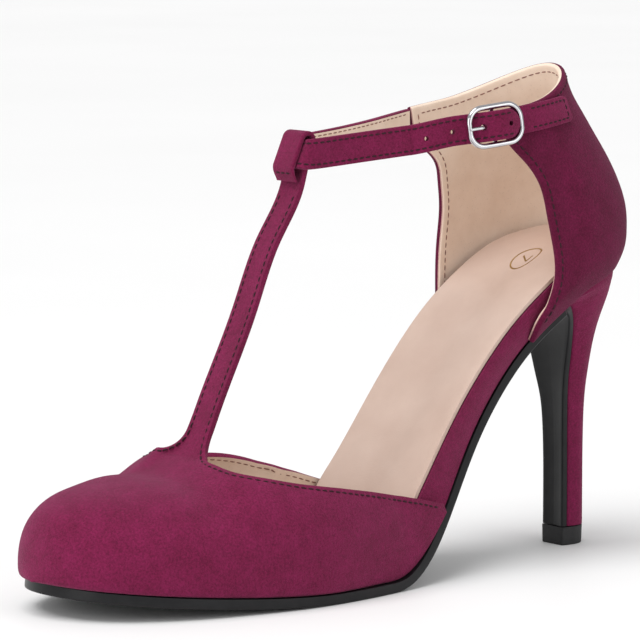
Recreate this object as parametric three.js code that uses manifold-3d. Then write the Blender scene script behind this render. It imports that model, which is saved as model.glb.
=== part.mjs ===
// T strap shoe with a high heel, a left shoe: suede upper, wrapped insole and heel, black sole.
// Millimetres, +Z up. The toe points along -Y, the buckle is on the outer side, +X.
// Construction frame: Y runs back from the toe tip and Z up from the floor, X = 0 on the shoe's axis.
import * as THREE from 'three';
import { mergeVertices } from 'three/addons/utils/BufferGeometryUtils.js';
import Module from 'manifold-3d';

const wasm = await Module();
wasm.setup();

// Short tables with named columns
function table(names, rows) {
  return Object.fromEntries(names.map((name, k) => [name, rows.map((row) => row[k])]));
}

// Driving dimensions
const insoleLength = 208.5;    // toe tip to the back of the heel seat, measured along the floor
const ballWidth = 76;          // width of the tread at the ball of the foot
const heelSeatHeight = 87.3;   // height of the heel seat's back edge above the floor
const toeSpring = 6.5;         // how far the sole's toe tip lifts off the floor
const vampHeight = 39;         // the last's ridge over the sole at the throat
const wall = 1.6;              // suede and lining together
const cupWall = 2.2;           // suede, stiffener and lining of the heel cup
const vampLean = 0.4;          // the vamp's sections lean back less than the waist's slope
const footTuck = 1.7;          // the toe bulges this far out over its foot line
const fitGap = 0.3;            // clearance between pieces that touch

// Sole, board and sock
const soleThickness = 3;
const soleEdge = 0.6;          // eased lower edge
const boardThickness = 10.2;   // wrapped insole board at the waist and heel
const foreBoardThickness = 3;  // insole board under the ball
const keelInset = 0.6;         // the board's underside stays this far inside the sole's edge
const trough = 1;              // hollow of the board under the foot
const sockThickness = 1.4;
const sockInset = 0.6;         // bare rim of the board round the sock
const boardEndTurn = 0.02;      // the board's first and last section, as a turn

// Heel
const breastAlong = 0.863;     // where the heel's front meets the sole, as a share of the length
const heelTipWidth = 9.4;
const heelTipDepth = 10.6;
const heelTipInset = 7.5;      // the tip's back stands this far ahead of the seat's back
const heelTopHalf = 18.6;      // half width of the heel's front edge under the sole
const seatLead = 1.6;          // the heel's front edge is eased back under the sole
const topPieceThickness = 5.6;
const tongueThickness = 1.7;   // sole leather that runs down the heel's front
const turnLead = 3;            // the sole begins its turn this far ahead of the heel's front
const tongueTop = 0.95;        // and ends it at this share of the heel's height

// T strap and its fold
const toplineCorner = 8;       // fillet radius between throat and strap
const tStrapWidth = 10.2;
const tStrapTaper = 0.45;      // each edge comes in this far towards the fold
const flapThickness = 1.4;
const throatLead = 0.035;      // the strap's line starts out along the vamp, this share ahead
const entryDip = -1.0;         // where the strap's face begins to pass behind the ankle strap
const entryDrop = 9.7;         // and how far below the strap's middle that is
const foldInset = 0.1;         // the folded end is narrower by this on each side
const flapSink = 0.35;         // the flap's sewn end is pressed into the strap
const flapEnd = table(['inward', 'drop'], [[0.06, 0.6], [0.3, 1.6], [0.68, 2.5], [1.0, 3.4]]);

// Ankle strap, collar and heel cup
const ankleHalf = 20.3;        // half width of the ankle oval, outer faces
const ankleRound = 26.4;       // depth of the oval behind its widest place
const ankleReach = 74;         // depth of the oval ahead of its widest place, where it is pinched
const frontBlunt = 0.16;       // the lower, the squarer the oval's front end
const collarInset = 19.4;      // the collar's back stands this far ahead of the seat's back
const ankleMiddle = insoleLength - collarInset - ankleRound;
const ankleStrapWidth = 8.8;
const strapThickness = 1.8;
const strapRise = 37.9;        // middle of the strap over the heel seat, at the front
const strapClimb = 0.067;      // slope of the strap's line at the front, and how much it steepens
const strapBend = 0.0004;
const strapTilt = 0.01;        // the strap's line lies higher on the outer side
const frontLean = 24;          // degrees that the strap lies back over the instep
const leanLength = 30;         // over which that lean fades
const sideLean = 0.074;        // the strap's sides lean in towards the ankle by this slope
const bandEase = 0.35;         // eased edges of the straps
const seamStep = 0.006;        // the strap starts this share of a quarter ahead of the cup
const collarPeak = 7.2;        // rise of the collar's back over the strap's line
const collarSpread = 1.05;     // quarters over which the peak fades
const cupBow = 7.4;            // how far the cup swells out over the heel
const sideBow = 0.4;           // share of that swell left at the sides
const cutDepth = 15.5;         // how far the cup's front edges curve back
const cutStart = 0.6;          // share of the way forward where that curve begins
const cupTuckRise = 0.16;      // share of the cup's height that follows the board's side
const cupFootOuter = 0.7914 * insoleLength;    // front ends of the cup's foot line and of its wings
const cupFootInner = 0.7866 * insoleLength;
const wingFrontOuter = insoleLength - 54.7;
const wingFrontInner = insoleLength - 61;

// Buckle
const buckleY = insoleLength - 59.3;           // the centre bar's place along the shoe
const buckleRise = 0.9;        // the buckle sits this far over the strap's middle
const buckleLength = 19;
const buckleHeight = 13;
const buckleBar = 1.7;
const buckleCorner = 4.4;
const centreBar = 1.4;
const centreLevel = 0.2;       // the centre bar lies this far off the ankle oval
const barClearance = 0.2;
const underBar = 0.95;         // room between the front bar and the strap below it
const prongDiameter = 1;
const prongHole = -4.3;        // the hole in use, ahead of the centre bar
const tabWidth = 8.2;
const tabThickness = 0.9;
const tabLead = 4.2;           // the tab leaves the cup this far behind its loop
const tabTaper = 0.8;          // width of the sewn end as a share
const tabEndY = insoleLength - 29.5;           // the tab's sewn end
const tabTail = 3.3;           // and its inner end, behind the centre bar
const tipRound = 4.4;          // the ankle strap's end is round over this length
const strapHole = 1.5;
const strapHolePitch = 8.5;
const strapHoles = 4;

// Cubic spline through a column, with free ends or a level start
function spline(xs, ys, levelStart = false) {
  const n = xs.length;
  const a = new Array(n).fill(0);
  const b = new Array(n).fill(1);
  const c = new Array(n).fill(0);
  const d = new Array(n).fill(0);
  if (levelStart) {
    b[0] = 2 * (xs[1] - xs[0]);
    c[0] = xs[1] - xs[0];
    d[0] = 6 * (ys[1] - ys[0]) / (xs[1] - xs[0]);
  }
  for (let i = 1; i < n - 1; i += 1) {
    a[i] = xs[i] - xs[i - 1];
    c[i] = xs[i + 1] - xs[i];
    b[i] = 2 * (a[i] + c[i]);
    d[i] = 6 * ((ys[i + 1] - ys[i]) / c[i] - (ys[i] - ys[i - 1]) / a[i]);
  }
  for (let i = 1; i < n; i += 1) {
    const m = a[i] / b[i - 1];
    b[i] -= m * c[i - 1];
    d[i] -= m * d[i - 1];
  }
  const bend = new Array(n).fill(0);
  for (let i = n - 1; i >= 0; i -= 1) {
    bend[i] = (d[i] - (i < n - 1 ? c[i] * bend[i + 1] : 0)) / b[i];
  }
  return (x) => {
    let i = 0;
    while (i < n - 2 && x > xs[i + 1]) i += 1;
    const w = xs[i + 1] - xs[i];
    const s = (xs[i + 1] - x) / w;
    const t = (x - xs[i]) / w;
    const lift = (s ** 3 - s) * bend[i] + (t ** 3 - t) * bend[i + 1];
    return s * ys[i] + t * ys[i + 1] + lift * w * w / 6;
  };
}

const clamp = (x, low, high) => Math.min(Math.max(x, low), high);
const mix = (a, b, t) => a + (b - a) * t;
const smooth = (t) => clamp(t, 0, 1) ** 2 * (3 - 2 * clamp(t, 0, 1));
const range = (n) => Array.from({ length: n }, (_, i) => i);
const radians = (degrees) => degrees * Math.PI / 180;

// Bottom line of the last. The tread is flat between two stations, the toe springs up ahead of it,
// and the waist climbs to the heel seat behind it.
const treadStart = 0.367 * insoleLength;
const treadEnd = 0.461 * insoleLength;
const waistTable = table(['along', 'rise'], [
  [0.461, 0.000], [0.503, 0.008], [0.544, 0.065], [0.599, 0.202], [0.658, 0.376], [0.716, 0.551],
  [0.783, 0.734], [0.854, 0.870], [0.892, 0.925], [0.936, 0.960], [1.000, 1.000],
]);
const waistRise = spline(waistTable.along, waistTable.rise, true);
const springPower = 1.45;
function bottomHeight(y) {
  if (y < treadStart) {
    return soleThickness + toeSpring * ((treadStart - y) / treadStart) ** springPower;
  }
  if (y <= treadEnd) return soleThickness;
  return soleThickness + (heelSeatHeight - soleThickness) * waistRise(y / insoleLength);
}
function bottomSlope(y) {
  const step = 0.01;
  return Math.atan2(bottomHeight(y + step) - bottomHeight(y - step), 2 * step);
}

// A point at height h over the bottom line, square to it or with a share of that lean
function over(y, x, h, lean = 1) {
  const slope = lean * bottomSlope(y);
  return [x, y - h * Math.sin(slope), bottomHeight(y) + h * Math.cos(slope)];
}

// Outlines as half widths. The turn runs from 0 at the toe tip to 1 at the heel, and slows at both
// ends, so that the outline closes in a round toe and a round heel.
const turnAt = (along) => Math.acos(1 - 2 * clamp(along, 0, 1)) / Math.PI;
const alongAt = (turn) => (1 - Math.cos(Math.PI * turn)) / 2;
const outlineTable = table(['along', 'soleOuter', 'soleInner', 'boardOuter', 'boardInner'], [
  [0.000, 0.000, 0.000, 0.000, 0.000],
  [0.028, 0.235, 0.215, 0.198, 0.180],
  [0.074, 0.337, 0.310, 0.300, 0.273],
  [0.148, 0.425, 0.400, 0.386, 0.363],
  [0.230, 0.475, 0.458, 0.437, 0.420],
  [0.294, 0.498, 0.488, 0.459, 0.449],
  [0.381, 0.495, 0.465, 0.455, 0.425],
  [0.466, 0.450, 0.395, 0.412, 0.345],
  [0.566, 0.345, 0.275, 0.360, 0.258],
  [0.684, 0.240, 0.205, 0.285, 0.268],
  [0.805, 0.245, 0.230, 0.290, 0.273],
  [0.898, 0.255, 0.240, 0.281, 0.258],
  [0.959, 0.184, 0.176, 0.207, 0.196],
  [1.000, 0.000, 0.000, 0.000, 0.000],
]);
const outlineTurns = outlineTable.along.map(turnAt);
const outlineSpline = (column) => spline(outlineTurns, outlineTable[column]);
const soleHalf = { outer: outlineSpline('soleOuter'), inner: outlineSpline('soleInner') };
const boardHalf = { outer: outlineSpline('boardOuter'), inner: outlineSpline('boardInner') };
const sideOf = (sign) => (sign > 0 ? 'outer' : 'inner');
const soleWidth = (turn, sign) => ballWidth * soleHalf[sideOf(sign)](turn);
const boardWidth = (turn, sign) => ballWidth * boardHalf[sideOf(sign)](turn);

// Thickness of the board along the foot, and its hull shaped side
const boardTable = table(['along', 'thick'], [[0, 0], [0.42, 0], [0.5, 0.25], [0.6, 1], [1, 1]]);
function boardDepth(y) {
  const along = y / insoleLength;
  const k = boardTable.along.findIndex((a) => along <= a);
  const i = Math.max(k, 1);
  const t = (along - boardTable.along[i - 1]) / (boardTable.along[i] - boardTable.along[i - 1]);
  const share = mix(boardTable.thick[i - 1], boardTable.thick[i], smooth(t));
  return mix(foreBoardThickness, boardThickness, share);
}
function boardSide(turn, sign, share) {
  const top = boardWidth(turn, sign);
  const keel = Math.min(top, soleWidth(turn, sign) - keelInset);
  return mix(keel, top, Math.sin(Math.PI / 2 * clamp(share, 0, 1)));
}

// Closed mesh from rings of points, each ring with as many points, ended by flat caps
function loft(rings) {
  const n = rings[0].length;
  const index = [];
  for (let i = 0; i + 1 < rings.length; i += 1) {
    for (let j = 0; j < n; j += 1) {
      const [a, b] = [i * n + j, i * n + (j + 1) % n];
      index.push(a, b, b + n, a, b + n, a + n);
    }
  }
  const points = rings.flat();
  [[rings[0], true], [rings[rings.length - 1], false]].forEach(([ring, first]) => {
    const start = first ? 0 : (rings.length - 1) * n;
    const centre = points.length;
    points.push([0, 1, 2].map((k) => ring.reduce((sum, p) => sum + p[k], 0) / n));
    for (let j = 0; j < n; j += 1) {
      const [a, b] = [start + j, start + (j + 1) % n];
      index.push(...(first ? [centre, b, a] : [centre, a, b]));
    }
  });
  return facingOut(points, index);
}

function facingOut(points, index) {
  let volume = 0;
  for (let i = 0; i < index.length; i += 3) {
    const [a, b, c] = [points[index[i]], points[index[i + 1]], points[index[i + 2]]];
    volume += a[0] * (b[1] * c[2] - b[2] * c[1]) + a[1] * (b[2] * c[0] - b[0] * c[2])
      + a[2] * (b[0] * c[1] - b[1] * c[0]);
  }
  if (volume < 0) {
    for (let i = 0; i < index.length; i += 3) [index[i], index[i + 1]] = [index[i + 1], index[i]];
  }
  const geometry = new THREE.BufferGeometry();
  geometry.setAttribute('position', new THREE.Float32BufferAttribute(points.flat(), 3));
  geometry.setIndex(index);
  return geometry;
}

// Shell of even thickness behind a sheet of quads. A quad may have two corners alike, at a pole.
function shell(points, quads, thickness) {
  const normals = points.map(() => new THREE.Vector3());
  const edges = new Map();
  const sheet = [];
  const vector = (i) => new THREE.Vector3(...points[i]);
  quads.forEach((quad) => {
    const corners = quad.filter((v, k) => v !== quad[(k + 1) % 4]);
    for (let k = 1; k + 1 < corners.length; k += 1) {
      sheet.push([corners[0], corners[k], corners[k + 1]]);
    }
  });
  sheet.forEach(([a, b, c]) => {
    const normal = vector(b).sub(vector(a)).cross(vector(c).sub(vector(a)));
    [a, b, c].forEach((v) => normals[v].add(normal));
    [[a, b], [b, c], [c, a]].forEach(([p, q]) => edges.set(`${p},${q}`, [p, q]));
  });
  const n = points.length;
  const back = points.map((p, i) => {
    const inward = normals[i].normalize().multiplyScalar(-thickness);
    return vector(i).add(inward).toArray();
  });
  const index = [];
  sheet.forEach(([a, b, c]) => index.push(a, b, c, a + n, c + n, b + n));
  edges.forEach(([p, q]) => {
    if (!edges.has(`${q},${p}`)) index.push(q, p, p + n, q, p + n, q + n);
  });
  return facingOut([...points, ...back], index);
}

// Boolean work on closed meshes
function toManifold(geometry) {
  const bare = geometry.clone();
  bare.deleteAttribute('normal');
  bare.deleteAttribute('uv');
  const merged = mergeVertices(bare, 1e-4);
  return new wasm.Manifold(new wasm.Mesh({
    numProp: 3,
    vertProperties: new Float32Array(merged.attributes.position.array),
    triVerts: new Uint32Array(merged.index.array),
  }));
}
function fromManifold(solid) {
  const mesh = solid.getMesh();
  const geometry = new THREE.BufferGeometry();
  geometry.setAttribute('position', new THREE.BufferAttribute(mesh.vertProperties, 3));
  geometry.setIndex(new THREE.BufferAttribute(mesh.triVerts, 1));
  return geometry;
}
const joined = (...parts) => fromManifold(parts.map(toManifold).reduce((a, b) => a.add(b)));
const cut = (body, ...tools) => (
  fromManifold(tools.map(toManifold).reduce((a, b) => a.subtract(b), toManifold(body)))
);

// A closed ring in a plane across the shoe: centre and normal in Y and Z, edges in X
function bandRing(centre, normal, inner, outer, thickness, edge) {
  const half = thickness / 2;
  const section = [
    [-inner, half], [0, half], [outer, half], [outer, edge - half],
    [outer - edge, -half], [0, -half], [edge - inner, -half], [-inner, edge - half],
  ];
  return section.map(([x, h]) => [x, centre[0] + h * normal[0], centre[1] + h * normal[1]]);
}

// Stations shared by the layers of the sole
const endTurn = 0.03;
const steps = (from, to, count) => range(count + 1).map((i) => mix(from, to, i / count));
const treadTurns = [treadStart, treadEnd].map((y) => turnAt(y / insoleLength));

// Heel: closed rings stacked from the top piece to the seat, each tilted a little more than the last
const heelTable = table(['rise', 'front', 'tilt', 'back', 'half', 'swell'], [
  [0.00, 0.00, 0.00, 0.00, 0.00, 0.06],
  [0.20, 0.00, 0.00, 0.00, 0.00, 0.06],
  [0.46, 0.03, 0.05, 0.01, 0.02, 0.06],
  [0.58, 0.08, 0.10, 0.05, 0.07, 0.06],
  [0.68, 0.16, 0.20, 0.13, 0.17, 0.07],
  [0.77, 0.21, 0.34, 0.24, 0.28, 0.08],
  [0.85, 0.30, 0.50, 0.42, 0.41, 0.10],
  [0.92, 0.48, 0.68, 0.64, 0.59, 0.13],
  [0.97, 0.72, 0.85, 0.84, 0.78, 0.15],
  [1.00, 1.00, 1.00, 1.00, 1.00, 0.17],
]);
const heelShape = Object.fromEntries(
  Object.keys(heelTable).map((name) => [name, spline(heelTable.rise, heelTable[name])]),
);
const heelBase = topPieceThickness + fitGap;
const stemBack = insoleLength - heelTipInset;
const stemFront = stemBack - heelTipDepth;
const breastY = breastAlong * insoleLength;
const underBreast = over(breastY, 0, -soleThickness)[2];
const seatTilt = bottomHeight(insoleLength) - fitGap - underBreast;
function heelRow(rise) {
  const z = mix(heelBase, underBreast, rise);
  return {
    front: [mix(stemFront, breastY, heelShape.front(rise)), z],
    back: [mix(stemBack, insoleLength, heelShape.back(rise)), z + seatTilt * heelShape.tilt(rise)],
    half: mix(heelTipWidth / 2, heelTopHalf, heelShape.half(rise)),
    swell: heelShape.swell(rise),
  };
}
function breastNormal(rise) {
  const step = 0.01;
  const [a, b] = [heelRow(rise - step).front, heelRow(rise + step).front];
  const length = Math.hypot(b[0] - a[0], b[1] - a[1]);
  return [(b[1] - a[1]) / length, -(b[0] - a[0]) / length];
}
const behindBreast = (rise, depth) => {
  const { front } = heelRow(rise);
  const normal = breastNormal(rise);
  return [front[0] + depth * normal[0], front[1] + depth * normal[1]];
};

// D shaped ring with its flat face in front
const sideShare = 0.4;
function dRing(front, back, half, swell) {
  const right = [[0, 0.5], [0, 1], [sideShare / 2, 1 + 0.75 * swell], [sideShare, 1 + swell]];
  [22.5, 45, 67.5].forEach((angle) => {
    const turned = radians(angle);
    right.push([mix(sideShare, 1, Math.sin(turned)), (1 + swell) * Math.cos(turned)]);
  });
  const left = right.map(([along, x]) => [along, -x]).reverse();
  return [...right, [1, 0], ...left].map(([along, x]) => (
    [x * half, mix(front[0], back[0], along), mix(front[1], back[1], along)]
  ));
}

function makeHeel() {
  const depth = tongueThickness + fitGap;
  const rises = [0, 0.25, 0.46, 0.56, 0.64, 0.71, 0.78, 0.84, 0.89, 0.93];
  const rings = rises.map((rise) => {
    const { back, half, swell } = heelRow(rise);
    return dRing(behindBreast(rise, depth), back, half, swell);
  });
  const seat = heelRow(1);
  const seatFront = [behindBreast(0.97, depth)[0] + seatLead, 0];
  const top = dRing(seatFront, [seat.back[0], 0], seat.half, seat.swell);
  rings.push(top.map(([x, y]) => [x, y, over(y, 0, 0)[2] - fitGap]));
  return loft(rings);
}

function makeTopPiece() {
  const front = stemFront;
  const ring = (z, grow) => dRing([front, z], [stemBack + grow, z], heelTipWidth / 2 + grow, 0.06);
  return loft([ring(0, 0), ring(topPieceThickness, 0.15)]);
}

// Outsole: a thin sheet under the foot, which turns down the front of the heel as a tongue
function makeOutsole() {
  const half = soleThickness / 2;
  const waistEnd = turnAt((breastY - turnLead) / insoleLength);
  const stations = [
    ...steps(endTurn, treadTurns[0], 10), ...steps(treadTurns[0], treadTurns[1], 2).slice(1),
    ...steps(treadTurns[1], waistEnd, 12).slice(1),
  ];
  const rings = stations.map((turn) => {
    const y = insoleLength * alongAt(turn);
    const slope = bottomSlope(y);
    const centre = over(y, 0, -half).slice(1);
    const normal = [-Math.sin(slope), Math.cos(slope)];
    return bandRing(centre, normal, soleWidth(turn, -1), soleWidth(turn, 1), soleThickness, soleEdge);
  });
  const slope = bottomSlope(breastY - turnLead);
  const start = over(breastY - turnLead, 0, -half).slice(1);
  const along = [Math.cos(slope), Math.sin(slope)];
  const end = behindBreast(tongueTop, tongueThickness / 2);
  const endNormal = breastNormal(tongueTop);
  const down = [endNormal[1], -endNormal[0]];
  const cross = (p, q) => p[0] * q[1] - p[1] * q[0];
  const reach = cross([end[0] - start[0], end[1] - start[1]], down) / cross(along, down);
  const corner = [start[0] + reach * along[0], start[1] + reach * along[1]];
  steps(0, 1, 8).slice(1, -1).forEach((t) => {
    const at = (k) => (1 - t) ** 2 * start[k] + 2 * t * (1 - t) * corner[k] + t * t * end[k];
    const go = (k) => (1 - t) * (corner[k] - start[k]) + t * (end[k] - corner[k]);
    const length = Math.hypot(go(0), go(1));
    const normal = [-go(1) / length, go(0) / length];
    const tongueHalf = heelRow(tongueTop).half;
    const widths = [-1, 1].map((sign) => mix(soleWidth(waistEnd, sign), tongueHalf, t));
    const thick = mix(soleThickness, tongueThickness, t);
    rings.push(bandRing([at(0), at(1)], normal, widths[0], widths[1], thick, soleEdge));
  });
  [tongueTop, 0.9, 0.85, 0.79, 0.72, 0.64, 0.54, 0.4, 0].forEach((rise) => {
    const { half: width } = heelRow(rise);
    const centre = behindBreast(rise, tongueThickness / 2);
    rings.push(bandRing(centre, breastNormal(rise), width, width, tongueThickness, soleEdge));
  });
  return loft(rings);
}

// Insole board with a hull shaped side, and the padded sock that lies in its trough
const boardTurns = steps(boardEndTurn, 1 - boardEndTurn, 34);
const troughAt = (share) => trough * (share ** 2 - 1);
function makeBoard() {
  const sides = [0, 0.35, 0.7, 1];
  const rings = boardTurns.map((turn) => {
    const y = insoleLength * alongAt(turn);
    const depth = boardDepth(y);
    const side = (sign) => sides.map((share) => (
      over(y, sign * boardSide(turn, sign, share), fitGap + share * depth)
    ));
    const top = [0.66, 0.33, 0, -0.33, -0.66].map((share) => {
      const x = share * boardWidth(turn, share);
      return over(y, x, fitGap + depth + troughAt(share));
    });
    return [...side(1), ...top, ...side(-1).reverse()];
  });
  return loft(rings);
}
function makeSock() {
  const across = [1, 0.66, 0.33, 0, -0.33, -0.66, -1];
  const rings = boardTurns.slice(1, -1).map((turn) => {
    const y = insoleLength * alongAt(turn);
    const face = (lift) => across.map((share) => {
      const x = share * (boardWidth(turn, share) - sockInset);
      return over(y, x, fitGap + boardDepth(y) + troughAt(share) + lift);
    });
    return [...face(fitGap + sockThickness), ...face(fitGap).reverse()];
  });
  return loft(rings);
}

// The upper's foot line runs round the board, a fixed step outside its outline
function footLine(turn, sign, step) {
  const d = 0.002;
  const low = clamp(turn, d, 1 - d);
  const at = (t) => [boardWidth(t, sign), insoleLength * alongAt(t)];
  const [before, after] = [at(low - d), at(low + d)];
  const [dx, dy] = [after[0] - before[0], after[1] - before[1]];
  const length = Math.hypot(dx, dy);
  const [x, y] = at(turn);
  return [sign * (x + step * dy / length), y - step * dx / length];
}
const upperStep = fitGap + wall;

// Vamp sections over the last: ridge height and fullness along the foot
const vampTable = table(['along', 'ridge', 'full', 'tuck'], [
  [0.000, 0.00, 2.1, 1.0], [0.007, 0.38, 2.1, 1.0], [0.028, 0.55, 2.2, 1.0], [0.058, 0.65, 2.3, 1.0],
  [0.105, 0.725, 2.4, 1.0], [0.155, 0.775, 2.5, 1.0], [0.196, 0.80, 2.6, 1.0], [0.239, 0.93, 2.7, 1.0],
  [0.321, 0.98, 3.0, 1.0], [0.435, 1.02, 3.0, 0.7], [0.595, 1.02, 3.0, 0.0],
]);
const vampTurns = vampTable.along.map(turnAt);
const vampRidge = spline(vampTurns, vampTable.ridge);
const vampFull = spline(vampTurns, vampTable.full);
const vampTuck = spline(vampTurns, vampTable.tuck);

// A point of the vamp's outer face: the angle climbs from 0 at the outer foot line to 180 at the inner
function vampPoint(turn, angle, onFoot = false) {
  const sign = angle > 90 ? -1 : 1;
  const foot = footLine(turn, sign, upperStep);
  if (onFoot) return over(foot[1], foot[0], fitGap, vampLean);
  const step = upperStep + vampTuck(turn) * footTuck;
  const widest = footLine(turn, sign, step);
  const y = (widest[1] + footLine(turn, -sign, step)[1]) / 2;
  const height = vampHeight * vampRidge(turn);
  const base = fitGap + Math.min(foreBoardThickness + vampTuck(turn) * footTuck, 0.35 * height);
  const full = 2 / vampFull(turn);
  const turned = radians(angle);
  const x = Math.abs(widest[0]) * sign * Math.abs(Math.cos(turned)) ** full;
  return over(y, x, base + Math.max(height - base, 0) * Math.sin(turned) ** full, vampLean);
}

// Topline of the vamp from a rear corner, place 0, to the throat's middle, place 1
const toplineTable = table(['place', 'outer', 'inner', 'along'], [
  [0.000, 0.0, 0.0, 0.597], [0.088, 8.5, 9.5, 0.563], [0.142, 15.0, 17.5, 0.543],
  [0.217, 25.0, 29.0, 0.492], [0.299, 30.5, 37.0, 0.448], [0.384, 34.2, 43.0, 0.409],
  [0.483, 39.5, 48.5, 0.366], [0.581, 45.1, 51.5, 0.320], [0.674, 50.8, 54.5, 0.281],
  [0.757, 59.5, 61.0, 0.250], [0.796, 64.7, 66.0, 0.2425], [0.860, 73.5, 74.0, 0.2385],
  [0.930, 82.0, 82.0, 0.2375], [1.000, 90.0, 90.0, 0.2375],
]);
const toplineAngle = {
  outer: spline(toplineTable.place, toplineTable.outer),
  inner: spline(toplineTable.place, toplineTable.inner),
};
const toplineAlong = spline(toplineTable.place, toplineTable.along);
const toplinePoint = (place) => vampPoint(turnAt(toplineAlong(place)), toplineAngle.outer(place));

// Place on the topline where the T strap's corner fillet begins
function solve(low, high, wanted, value) {
  const falling = value(low) > value(high);
  let [a, b] = [low, high];
  for (let i = 0; i < 40; i += 1) {
    const mid = (a + b) / 2;
    if ((value(mid) > wanted) === falling) a = mid;
    else b = mid;
  }
  return (a + b) / 2;
}
const strapRootHalf = tStrapWidth / 2 + toplineCorner;
const rootPlace = solve(0.5, 1, strapRootHalf, (place) => toplinePoint(place)[0]);

// Ankle oval seen from above. A quarter runs from 0 at the back to 1 at the widest place and 2 at
// the front; its sign gives the side. The offset steps out from the outer face. Ahead of the widest
// place the oval narrows to a blunt end, as wide as the T strap that holds it.
const pinchTable = table(['ahead', 'share'], [
  [0.00, 1.000], [0.20, 0.925], [0.32, 0.815], [0.43, 0.690], [0.65, 0.500], [0.80, 0.430],
  [0.89, 0.415], [1.00, 0.415],
]);
const pinch = spline(pinchTable.ahead, pinchTable.share, true);
function ovalPoint(quarter, offset) {
  const side = Math.sign(quarter) || 1;
  const swing = Math.PI / 2 * Math.abs(quarter);
  const [across, back] = [Math.sin(swing), Math.cos(swing)];
  if (back >= 0) {
    return [side * (ankleHalf + offset) * across, ankleMiddle + (ankleRound + offset) * back];
  }
  const half = (ankleHalf + offset) * pinch(-back) * Math.abs(across) ** frontBlunt;
  return [side * Math.sign(across) * half, ankleMiddle + (ankleReach + offset) * back];
}
function quarterAt(y) {
  const ahead = ankleMiddle - y;
  const swing = ahead > 0 ? Math.PI / 2 + Math.asin(ahead / ankleReach) : Math.acos(-ahead / ankleRound);
  return swing / (Math.PI / 2);
}
const strapFrontY = ankleMiddle - ankleReach;
const strapHeight = (x, y) => {
  const back = y - strapFrontY;
  return heelSeatHeight + strapRise + strapClimb * back + strapBend * back ** 2 + strapTilt * x;
};

// Frame of the ankle strap at a quarter: a point on the outer face, along, up and out
function strapFrame(quarter, offset) {
  const place = (q) => {
    const [x, y] = ovalPoint(q, offset);
    return new THREE.Vector3(x, y, strapHeight(x, y));
  };
  const at = place(quarter);
  const along = place(quarter - 0.004).sub(place(quarter + 0.004)).normalize();
  const away = smooth((at.y - strapFrontY) / leanLength);
  const lean = Math.tan(radians(frontLean)) * (1 - away);
  const tilt = -Math.sign(quarter) * sideLean * away;
  const up = new THREE.Vector3(tilt, lean, 1);
  up.addScaledVector(along, -up.dot(along)).normalize();
  const out = new THREE.Vector3().crossVectors(along, up);
  return { at, along, up, out };
}

// T strap: the middle of its outer face climbs from the throat to the fold round the ankle strap
const throat = toplinePoint(1).slice(1);
const beforeThroat = vampPoint(turnAt(toplineAlong(1) - throatLead), 90).slice(1);
const loopFrame = strapFrame(2, -strapThickness / 2);
const loopPoint = (out, up) => [
  loopFrame.at.y + out * loopFrame.out.y + up * loopFrame.up.y,
  loopFrame.at.z + out * loopFrame.out.z + up * loopFrame.up.z,
];
const bandFace = -(strapThickness / 2 + 2 * fitGap);
const loopEntry = loopPoint(bandFace + entryDip, -entryDrop);
const tStrapTable = table(['back', 'up'], [
  [0.00, 0.00], [0.13, 0.10], [0.22, 0.20], [0.375, 0.36], [0.56, 0.56], [0.78, 0.81], [1.00, 1.00],
]);
const tStrapKnots = [
  beforeThroat,
  ...tStrapTable.back.map((back, i) => [
    mix(throat[0], loopEntry[0], back), mix(throat[1], loopEntry[1], tStrapTable.up[i]),
  ]),
  loopPoint(bandFace, -0.2 * ankleStrapWidth),
  loopPoint(bandFace, 0.55 * ankleStrapWidth),
];
const chords = tStrapKnots.reduce((sums, knot, i) => {
  const last = i > 0 ? tStrapKnots[i - 1] : knot;
  const sum = i > 0 ? sums[i - 1] : 0;
  return [...sums, sum + Math.hypot(knot[0] - last[0], knot[1] - last[1])];
}, []);
const tStrapY = spline(chords, tStrapKnots.map((knot) => knot[0]));
const tStrapZ = spline(chords, tStrapKnots.map((knot) => knot[1]));
const tStrapStart = chords[1];
const tStrapEnd = chords[chords.length - 1];
function tStrapHalf(run) {
  const left = Math.max(toplineCorner - run, 0);
  const taper = tStrapTaper * smooth(run / (tStrapEnd - tStrapStart));
  return strapRootHalf - Math.sqrt(toplineCorner ** 2 - left ** 2) - taper;
}

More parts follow.
